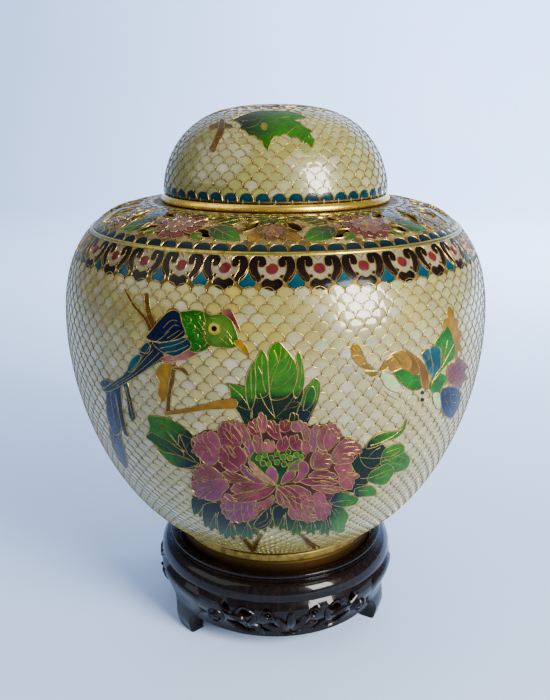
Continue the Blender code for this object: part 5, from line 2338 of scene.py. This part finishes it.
@dataclass
class Lid:
    """The domed lid.

    Attributes give the same sizes as the CAD solid.
    """

    wall: float = 1.2 * MM
    side_power: float = 0.675
    crown_power: float = 1.056
    sides: int = 128
    scales: int = 48
    crown_radius: float = 17.0 * MM
    heart_radius: float = 10.0 * MM
    scallops: int = 48
    taken: list[Path] = field(default_factory=list)
    taken_in_view: list[Path] = field(default_factory=list)

    def __post_init__(self) -> None:
        """Find the dome's place and outer line."""
        low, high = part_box("lid_dome")
        self.low, self.high = low.z, high.z
        self.radius = (high.x - low.x) / 2
        self.skin = Skin(self.line(0.0))

    def line(self, inset: float) -> Path:
        """Return the dome's line, moved inwards by a wall.

        Args:
            inset: Thickness to take off.

        Returns:
            Radius and height of its points.
        """
        steps = 80
        points = []
        for turn in (math.pi / 2 * i / steps for i in range(steps)):
            height = (self.high - self.low - inset) * math.sin(turn) ** self.crown_power
            points.append(((self.radius - inset) * math.cos(turn) ** self.side_power, self.low + height))
        return points + [(0.0, self.low + (self.high - self.low - inset))]

    def build(self, field_of: FieldRepeater, ring: RingRepeater) -> None:
        """Make the dome, its picture, scales and scallops.

        Args:
            field_of: Tree that copies a piece to many spots.
            ring: Tree that repeats a piece around the axis.
        """
        profile = self.line(0.0)[::2] + self.line(self.wall)[::-2]
        settle(turned("lid_shell", profile, self.sides, WALL_BRASS.material()), "lid_enamel", "lid_dome")
        self.build_picture()
        self.build_scales(field_of)
        self.build_scallops(ring)

    def build_picture(self) -> None:
        """Draw the crown's flower, its leaves and a twig."""
        enamel, wires = Inlay(), Inlay()
        spray = Spray(PlanChart(self.skin), enamel, wires, self.taken, level=0.15 * MM, step=0.008 * MM)
        front = Spray(ViewChart(self.skin), enamel, wires, self.taken_in_view, 4.5)
        edge = path_of(
            "233,120 241,116 250,113.5 262,111.5 276,111.5 290,112.5 299,114.5 307,119 299,119.5 293,121 300,123 "
            "303,127 309,130 310,135 314,140 312,148 308,144 302,143 298,138 291,138 285,134 280,137 275,136.5 "
            "271,142 268,151 264,146 262,141 258,140 254,136 249,136 245,131 240,129 242,125.5 238,123"
        )
        front.cell(edge, fading(Glaze.PINE, Glaze.LEAF, (248, 118), (282, 128)))
        front.follow("""
            pool OCHRE MOSS: 261,127 263,123.5 266.5,124.5 267,129 264,130.5;
            veins 0.8: 242,122 256,120 272,119 290,117 | 270,139 273,128 278,118 | 284,137 292,130 299,126 | 300,140
            301,133 296,125 | 246,129 256,126 262,120;
            stem BARK 4,7,3.4: 211,128 220,126 231,127;
            stem BARK 4.6,6.4,5.6,6.6: 222,122 221,132 217,140 213,149;
        """)
        for angle in (20.0, 95.0, 165.0):
            base = placed([(9.0, 0.0)], (0.0, 0.0), angle)[0]
            for spread_by, bend in ((-22.0, 0.0), (20.0, 0.4)):
                tip = placed([(21.0, 0.0)], (0.0, 0.0), angle + spread_by)[0]
                spray.leaf(base, tip, 6.4, (Glaze.PINE, Glaze.LEAF), 3, bend)
        spray.flower((0.0, 0.0), 11.0, 9, (Glaze.WINE, Glaze.LILAC), (Glaze.MAUVE, Glaze.ROSE))
        spray.lay()
        front.lay()
        settle(enamel.piece("lid_picture_enamel", MOTIF_ENAMEL.material()), "lid_enamel")
        settle(wires.piece("lid_picture_wires", MOTIF_GILT.material()), "lid_enamel")

    def build_scales(self, field_of: FieldRepeater) -> None:
        """Cover the dome with scales, fewer around its crown.

        Args:
            field_of: Tree that copies a piece to many spots.
        """
        change = self.skin.at_radius(self.crown_radius)
        lower = ScaleField(self.skin, self.scales, 1.6 * MM, change)
        upper = ScaleField(self.skin, self.scales // 2, change, self.skin.at_radius(self.heart_radius))
        # The lid's scales also turn pearly towards the right, as painted reflection of the window.
        ground = Ground(random.Random(5), Glaze.SAGE, 30.0, (0.15, 1.5), 0.3, 0.5, (0.96, 1.14))

        def tone(azimuth: float, travel: float) -> Tone:
            return ground.tone(azimuth)

        def skip(spots: np.ndarray) -> np.ndarray:
            turns, radii = np.radians(spots[:, 0]), np.interp(spots[:, 1] * MM, self.skin.travels, self.skin.radii) / MM
            plan = np.stack((radii * np.sin(turns), -radii * np.cos(turns)), 1)
            return covered(self.taken_in_view, spots, 1.2) | covered(self.taken, plan, 1.4)

        spots = lower.spots(tone, skip) + upper.spots(tone, skip)
        lay_scales(field_of, "lid", "lid_enamel", lower, spots, GROUND_ENAMEL, 2)

    def build_scallops(self, ring: RingRepeater) -> None:
        """Make the row of teal scallops along the dome's edge.

        Args:
            ring: Tree that repeats a piece around the axis.
        """
        half = math.pi * self.radius / self.scallops / MM * 0.92
        row = Scallops("lid_", "lid_enamel", LocalChart(self.skin, travel=0.35 * MM), self.scallops, half, 2.0)
        row.build(ring, fading(Glaze.PETROL, Glaze.TEAL, (0, 0), (0, 1.8)), 0.12 * MM, 0.05 * MM, 1.5, 4)


def rounded(corners: Sequence[Place], steps: int = 4) -> Path:
    """Round the corners of a closed profile.

    Args:
        corners: Radius, height and rounding of each corner.
        steps: Stretches of each rounding.

    Returns:
        The profile with round corners.
    """
    path: Path = []
    for i, (x, y, size) in enumerate(corners):
        if size <= 0:
            path.append((x, y))
            continue
        here = Vector((x, y))
        before = (Vector(corners[i - 1][:2]) - here).normalized() * size
        after = (Vector(corners[(i + 1) % len(corners)][:2]) - here).normalized() * size
        for t in (step / steps for step in range(steps + 1)):
            path.append(tuple((here + before) * (1 - t) ** 2 + here * (2 * t * (1 - t)) + (here + after) * t * t))
    return path


@dataclass
class GiltRings:
    """The three turned gilt rings: foot ring, neck collar and lid rim.

    Attributes give the same sizes as the CAD solids.
    """

    sides: int = 160
    foot_wall: float = 3.2 * MM
    foot_band: float = 2.2 * MM
    groove: float = 0.6 * MM
    bead: float = 0.5 * MM
    neck_wall: float = 1.2 * MM
    neck_lip: float = 0.4 * MM
    rim_reach: float = 2.3 * MM

    def make(self, node: str, corners: Sequence[Place], finish: Finish, slot: str) -> None:
        """Turn a ring in the place of a CAD node."""
        settle(turned(f"{node}_gilt", rounded(corners), self.sides, finish.material()), slot, node)

    def build_foot(self) -> None:
        """Make the foot ring with its groove."""
        low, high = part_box("foot_ring")
        inside, groove, size = high.x - self.foot_wall, high.z - self.foot_band, self.bead
        floor = groove - self.groove
        corners = (
            (inside, high.z, 0.0),
            (high.x, high.z, size),
            (high.x, groove, size * 0.5),
            (high.x - self.groove, (groove + floor) / 2, 0.0),
            (high.x, floor, size * 0.5),
            (high.x, low.z + size, size * 0.6),
            (high.x - size, low.z, 0.0),
            (inside, low.z, 0.0),
        )
        self.make("foot_ring", corners, SATIN_GILT, "foot_gilt")

    def build_neck(self) -> None:
        """Make the neck collar."""
        low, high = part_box("neck_collar")
        neck, inside, bend = high.x - self.neck_lip, high.x - self.neck_wall - self.neck_lip, 0.2 * MM
        corners = (
            (inside, low.z, 0.0),
            (neck, low.z, 0.0),
            (neck, high.z - 1.2 * MM, 0.0),
            (high.x, high.z - 0.8 * MM, bend),
            (high.x, high.z, bend),
            (inside, high.z, bend),
        )
        self.make("neck_collar", corners, RING_GILT, "neck_gilt")

    def build_rim(self) -> None:
        """Make the lid's rim."""
        low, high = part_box("lid_rim")
        inner = high.x - self.rim_reach - 1.0 * MM
        corners = (
            (inner, low.z, 0.0),
            (high.x - 0.3 * MM, low.z, 0.2 * MM),
            (high.x, (low.z + high.z) / 2, 0.8 * MM),
            (high.x - 1.0 * MM, high.z, 0.3 * MM),
            (inner, high.z, 0.0),
        )
        self.make("lid_rim", corners, POLISHED_GILT, "lid_rim_gilt")


@dataclass
class Stand:
    """The turned and carved stand on three bracket feet.

    Attributes give the same sizes as the CAD solid.
    """

    height: float = 25.8 * MM
    well_radius: float = 31.1 * MM
    well_floor: float = 23.4 * MM
    rim_radius: float = 33.6 * MM
    rim_step: float = 0.9 * MM
    ovolo_radius: float = 36.5 * MM
    ovolo_foot: float = 19.4 * MM
    undercut: Spot = (35.5 * MM, 18.5 * MM)
    swell_radius: float = 36.9 * MM
    swell_height: float = 16.4 * MM
    edge_radius: float = 34.0 * MM
    edge_height: float = 5.8 * MM
    wall: float = 3.8 * MM
    legs: int = 3
    first_leg: float = -53.0
    leg_inside: float = 30.7 * MM
    pierced: Spot = (5.8, 3.4)
    sides: int = 120
    skin: Skin = field(init=False)

    def __post_init__(self) -> None:
        """Find the apron's outer line."""
        middle = (self.swell_height + self.edge_height) / 2
        top, foot = (self.swell_radius, self.swell_height), (self.edge_radius, self.edge_height)
        curve = bezier(foot, (self.edge_radius, middle), (self.swell_radius, middle), top, 24)
        self.skin = Skin(curve + [self.undercut])

    def chart(self, azimuth: float, height: float) -> LocalChart:
        """Return a chart on the apron about an azimuth and a height in millimetres."""
        return LocalChart(self.skin, turn=azimuth, travel=self.skin.at_height(height * MM))

    def build_top(self) -> bpy.types.Object:
        """Make the turned top with its well, rim and ovolo.

        Returns:
            The top.
        """
        step, rim = self.rim_step, self.rim_radius
        shoulder = self.height - 2 * step
        reach, rise = self.ovolo_radius - rim, shoulder - self.ovolo_foot
        turns = [math.pi / 2 * i / 12 for i in range(1, 13)]
        under = self.undercut[1] - 1.2 * MM
        corners = [
            (0.0, self.well_floor, 0.0),
            (self.well_radius, self.well_floor, 0.0),
            (self.well_radius, self.height, 0.3 * MM),
            (rim, self.height, step * 0.45),
            (rim, self.height - step, step * 0.3),
            (rim - 0.35 * MM, self.height - 1.15 * step, 0.1 * MM),
            (rim + step / 3, self.height - 1.3 * step, 0.15 * MM),
            (rim, shoulder, 0.1 * MM),
            *((rim + reach * math.sin(t), self.ovolo_foot + rise * math.cos(t), 0.0) for t in turns),
            (self.ovolo_radius - 0.25 * MM, self.ovolo_foot - 0.5 * MM, 0.2 * MM),
            (*self.undercut, 0.2 * MM),
            (self.undercut[0] - 0.6 * MM, under, 0.0),
            (0.0, under, 0.0),
        ]
        return turned("stand_top", rounded(corners), 160, STAND_WOOD.material(), 50.0)

    def openings(self) -> Iterator[tuple[LocalChart, Path]]:
        """Yield the chart and the outline of every opening in the apron.

        Yields:
            Chart and outline.
        """
        low = self.edge_height / MM + 1.5 + self.pierced[1] * 0.7
        high = self.undercut[1] / MM - self.pierced[1] * 0.9
        places = ((11.5, low, 55.0, 0.9), (10.0, high, 35.0, 0.85), (20.5, high, -75.0, 0.85), (26.5, low, 70.0, 1.0),
                  (30.0, high, 15.0, 0.85))
        for bay in range(self.legs):
            middle = self.first_leg + (bay + 0.5) * 360.0 / self.legs
            for side in (-1, 1):
                for azimuth, height, lean, grow in places:
                    length, width = self.pierced[0] * grow, self.pierced[1] * grow
                    leaf = [(x - length / 2, y) for x, y in leaf_outline(length, width, 8, 0.5)]
                    yield self.chart(middle + side * azimuth, height), placed(leaf, (0.0, 0.0), 90.0 - side * lean)

    def build_apron(self) -> bpy.types.Object:
        """Make the pierced apron ring.

        Returns:
            The apron.
        """
        edge, foot = self.edge_radius, self.edge_height
        bead = [
            (edge - self.wall, foot), (edge - 0.4 * MM, foot), (edge + 0.1 * MM, foot + 0.4 * MM),
            (edge + 0.1 * MM, foot + 0.9 * MM),
        ]
        outer = [(r, z) for r, z in self.skin.line if z > foot + 1.3 * MM]
        inner = [(self.undercut[0] - self.wall, self.undercut[1]), (self.swell_radius - self.wall, self.swell_height)]
        ring = turned("stand_apron", bead + outer + inner, self.sides, STAND_WOOD.material(), 45.0)
        return cut(ring, self.openings(), -1.6 * self.wall, 0.5 * self.wall)

    def carving(self) -> Inlay:
        """Draw one bay's palmette, leaves, scrolls and vines.

        Returns:
            The ridges of one bay.
        """
        carved = Inlay()

        def swept(azimuth: float, height: float, path: Path, width: float, rise: float, sizes: Sequence[float]) -> None:
            carved.ridge(self.chart(azimuth, height), path, width * MM, rise * MM, -0.15 * MM, sizes=sizes)

        def blade(length: float, middle: float, lean: float, bend: float) -> Path:
            reaches = [(length * (s - middle), lean - bend * s) for s in np.linspace(0, 1, 9)]
            return [(reach * math.cos(turn), reach * math.sin(turn)) for reach, turn in reaches]

        def coil(side: int, radius: float, shrink: float, start: float, turns: float, steps: int) -> Path:
            sizes = [(radius - shrink * t, t + start) for t in np.linspace(0, turns * math.pi, steps)]
            return [(side * size * math.cos(turn), size * math.sin(turn)) for size, turn in sizes]

        for index in range(-2, 3):
            path = blade(9.6 - 0.6 * abs(index), 0.0, math.radians(90.0 - 27.0 * index), 0.15 * index)
            swept(0.0, 8.2, path, 3.3, 1.5, (0.30, 0.75, 1.0, 1.05, 0.85, 0.25))
        swept(0.0, 7.8, smoothed(path_of("-3.2,0.2 0,-0.5 3.2,0.2"), 4), 1.6, 1.2, (0.2, 1.0, 0.2))
        vines = ((26.0, 15.2, "-6.2,0.2 -2.6,1.9 1.2,-0.6 5.4,1.6"), (22.5, 8.2, "-5.6,1.4 -2,-0.4 2.2,0.6 5,2.6"))
        for side in (-1, 1):
            for azimuth, height, angle, length in ((15.5, 9.8, 62, 8.0), (17.5, 12.6, 132, 7.0), (24.5, 13.2, 28, 6.4)):
                path = blade(length, 0.5, math.radians(angle if side > 0 else 180 - angle), 0.5 * side)
                swept(side * azimuth, height, path, 2.9, 1.35, (0.12, 0.75, 1.0, 0.85, 0.5, 0.1))
            swept(side * 37.0, 11.4, coil(side, 3.0, 0.22, 2.0, 3.4, 34), 1.5, 1.15, (0.9, 1.0, 0.9, 0.7))
            knob = disc((0.0, 0.0), 0.9, 10)
            carved.cell(self.chart(side * 37.0, 11.4), knob, plain(Glaze.GOLD), 0.7 * MM, 0.6 * MM, 0.6, 0.9 * MM)
            for azimuth, height, vine in vines:
                path = smoothed([(side * x, y) for x, y in path_of(vine)], 6)
                swept(side * azimuth, height, path, 1.1, 0.8, (0.3, 1.0, 1.0, 0.5))
            swept(side * 10.4, 15.0, coil(side, 1.7, 0.17, 0.0, 2.6, 22), 0.95, 0.75, (1.0, 0.8, 0.5))
        return carved

    def leg(self) -> bpy.types.Object:
        """Make one bracket foot at azimuth 0.

        Returns:
            The foot.
        """
        sections = (
            (0.0, 34.9, 4.0), (3.4, 35.7, 4.0), (6.1, 35.4, 5.0), (8.8, 35.1, 7.25), (14.2, 37.05, 10.0),
            (16.4, 37.2, 10.5), (18.4, 35.6, 9.2), (21.2, 35.2, 7.4),
        )
        radii = smoothed([(height, radius) for height, radius, _ in sections], 4)
        widths = smoothed([(height, half) for height, _, half in sections], 4)
        points: list[Vector] = []
        across = 14
        for (height, radius), (_, half) in zip(radii, widths):
            ring = []
            for share in (2 * i / across - 1 for i in range(across + 1)):
                drop = 0.9 * max(abs(share) - 0.86, 0.0) / 0.14
                ring.append(((radius - 0.55 * drop) * MM, share * half / radius))
            ring += [(self.leg_inside, turn) for _, turn in ring[::-1]]
            points += [Vector((math.sin(t) * r, -math.cos(t) * r, height * MM)) for r, t in ring]
        size = 2 * (across + 1)
        rings = [range(first, first + size) for first in range(0, len(points), size)]
        faces = [tuple(reversed(rings[0])), tuple(rings[-1])]
        for here, there in zip(rings, rings[1:]):
            faces += strip(here, there)
        return mesh_piece("leg", points, faces, sharp=32.0)

    def build(self, ring: RingRepeater) -> None:
        """Make the top, the apron, the feet and the carving.

        Args:
            ring: Tree that repeats a piece around the axis.
        """
        settle(self.build_top(), "stand_wood", "stand")
        settle(self.build_apron(), "stand_wood", "stand")
        settle(ring.make("stand_feet", self.leg(), self.legs, self.first_leg, STAND_WOOD), "stand_wood", "stand")
        middle = self.first_leg + 180.0 / self.legs
        carving = self.carving().piece("carving")
        settle(ring.make("stand_carving", carving, self.legs, middle, STAND_WOOD), "stand_wood")


class Studio:
    """The floor, the lights and the camera."""

    def floor(self) -> None:
        """Lay a plain pale floor that sweeps up far behind the jar."""
        reach, rise, bend, half = 1.6, 1.5, 0.6, 2.4
        turns = [math.pi / 2 * step / 12 for step in range(1, 13)]
        line = [(-reach, 0.0), (reach - bend, 0.0)]
        line += [(reach - bend + bend * math.sin(t), bend - bend * math.cos(t)) for t in turns] + [(reach, rise)]
        points = [Vector((side * half, y, z)) for y, z in line for side in (-1, 1)]
        faces = [(i, i + 1, i + 3, i + 2) for i in range(0, len(points) - 2, 2)]
        material = PaperFinish("floor_paper", 0.9, 0.0).material()
        mesh_piece("studio_floor", points, faces, material)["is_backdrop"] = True

    def light(
        self, name: str, azimuth: float, height: float, away: float, size: Spot, power: float, tint: Tone,
        target: Place = (0.0, 0.0, 0.09),
    ) -> None:
        """Hang a soft light that faces the jar or the floor behind it.

        Args:
            name: Name of the light.
            azimuth: Its direction from the target in degrees from the front.
            height: Its angle above the target in degrees.
            away: Its distance from the target.
            size: Width and height.
            power: Watts.
            tint: Colour.
            target: What it faces.
        """
        data = bpy.data.lights.new(name, "AREA")
        data.shape = "RECTANGLE"
        data.size, data.size_y = size
        data.energy = power
        data.color = tint
        turn, rise = math.radians(azimuth), math.radians(height)
        ray = Vector((math.sin(turn) * math.cos(rise), -math.cos(turn) * math.cos(rise), math.sin(rise)))
        lamp = linked(name, data)
        lamp.location = Vector(target) + ray * away
        lamp.rotation_euler = ray.to_track_quat("Z", "Y").to_euler()

    def lights(self) -> None:
        """Hang the window light, the fills and the sky."""
        self.light("window", 43.0, 22.0, 0.62, (0.22, 0.35), 10.4, (1.0, 0.99, 0.96))
        self.light("left_fill", -70.0, 38.0, 0.8, (0.7, 0.7), 2.5, (0.92, 0.96, 1.0))
        self.light("overhead", 180.0, 70.0, 1.4, (1.6, 1.6), 7.6, (0.84, 0.92, 1.0))
        self.light("backdrop", 0.0, 35.0, 0.9, (1.0, 0.6), 56.0, (0.80, 0.90, 1.0), (0.6, 1.2, 0.2))
        world = bpy.context.scene.world or bpy.data.worlds.new("sky")
        bpy.context.scene.world = world
        world.use_nodes = True
        back = world.node_tree.nodes["Background"]
        back.inputs["Color"].default_value = (0.80, 0.86, 0.96, 1.0)
        back.inputs["Strength"].default_value = 0.36

    def camera(self) -> None:
        """Place the camera where the photograph was taken from."""
        view = View()
        data = bpy.data.cameras.new("camera")
        data.lens = view.lens
        data.sensor_fit = "AUTO"
        data.sensor_width = SENSOR
        data.clip_start = 0.01
        camera = linked("camera", data)
        camera.location = view.place
        camera.rotation_euler = view.angles()
        bpy.context.scene.camera = camera


def main() -> None:
    """Build the jar, its lid, its rings and its stand, in order."""
    logging.basicConfig(level=logging.INFO, format="%(message)s")
    cad_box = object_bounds()
    studio = Studio()
    studio.camera()
    studio.lights()
    studio.floor()
    ring, field_of = RingRepeater(), FieldRepeater()
    jar = Jar()
    jar.build_wall()
    jar.build_gold_line()
    jar.build_lappets(ring)
    jar.build_scallops(ring)
    jar.build_openwork(ring)
    jar.build_picture()
    jar.build_scales(field_of)
    Lid().build(field_of, ring)
    rings = GiltRings()
    rings.build_foot()
    rings.build_neck()
    rings.build_rim()
    Stand().build(ring)
    boxes = {"cad": cad_box, "visual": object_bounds()}
    lists = {name: [[round(float(x), 6) for x in corner] for corner in box] for name, box in boxes.items()}


if __name__ == "__main__":
    main()
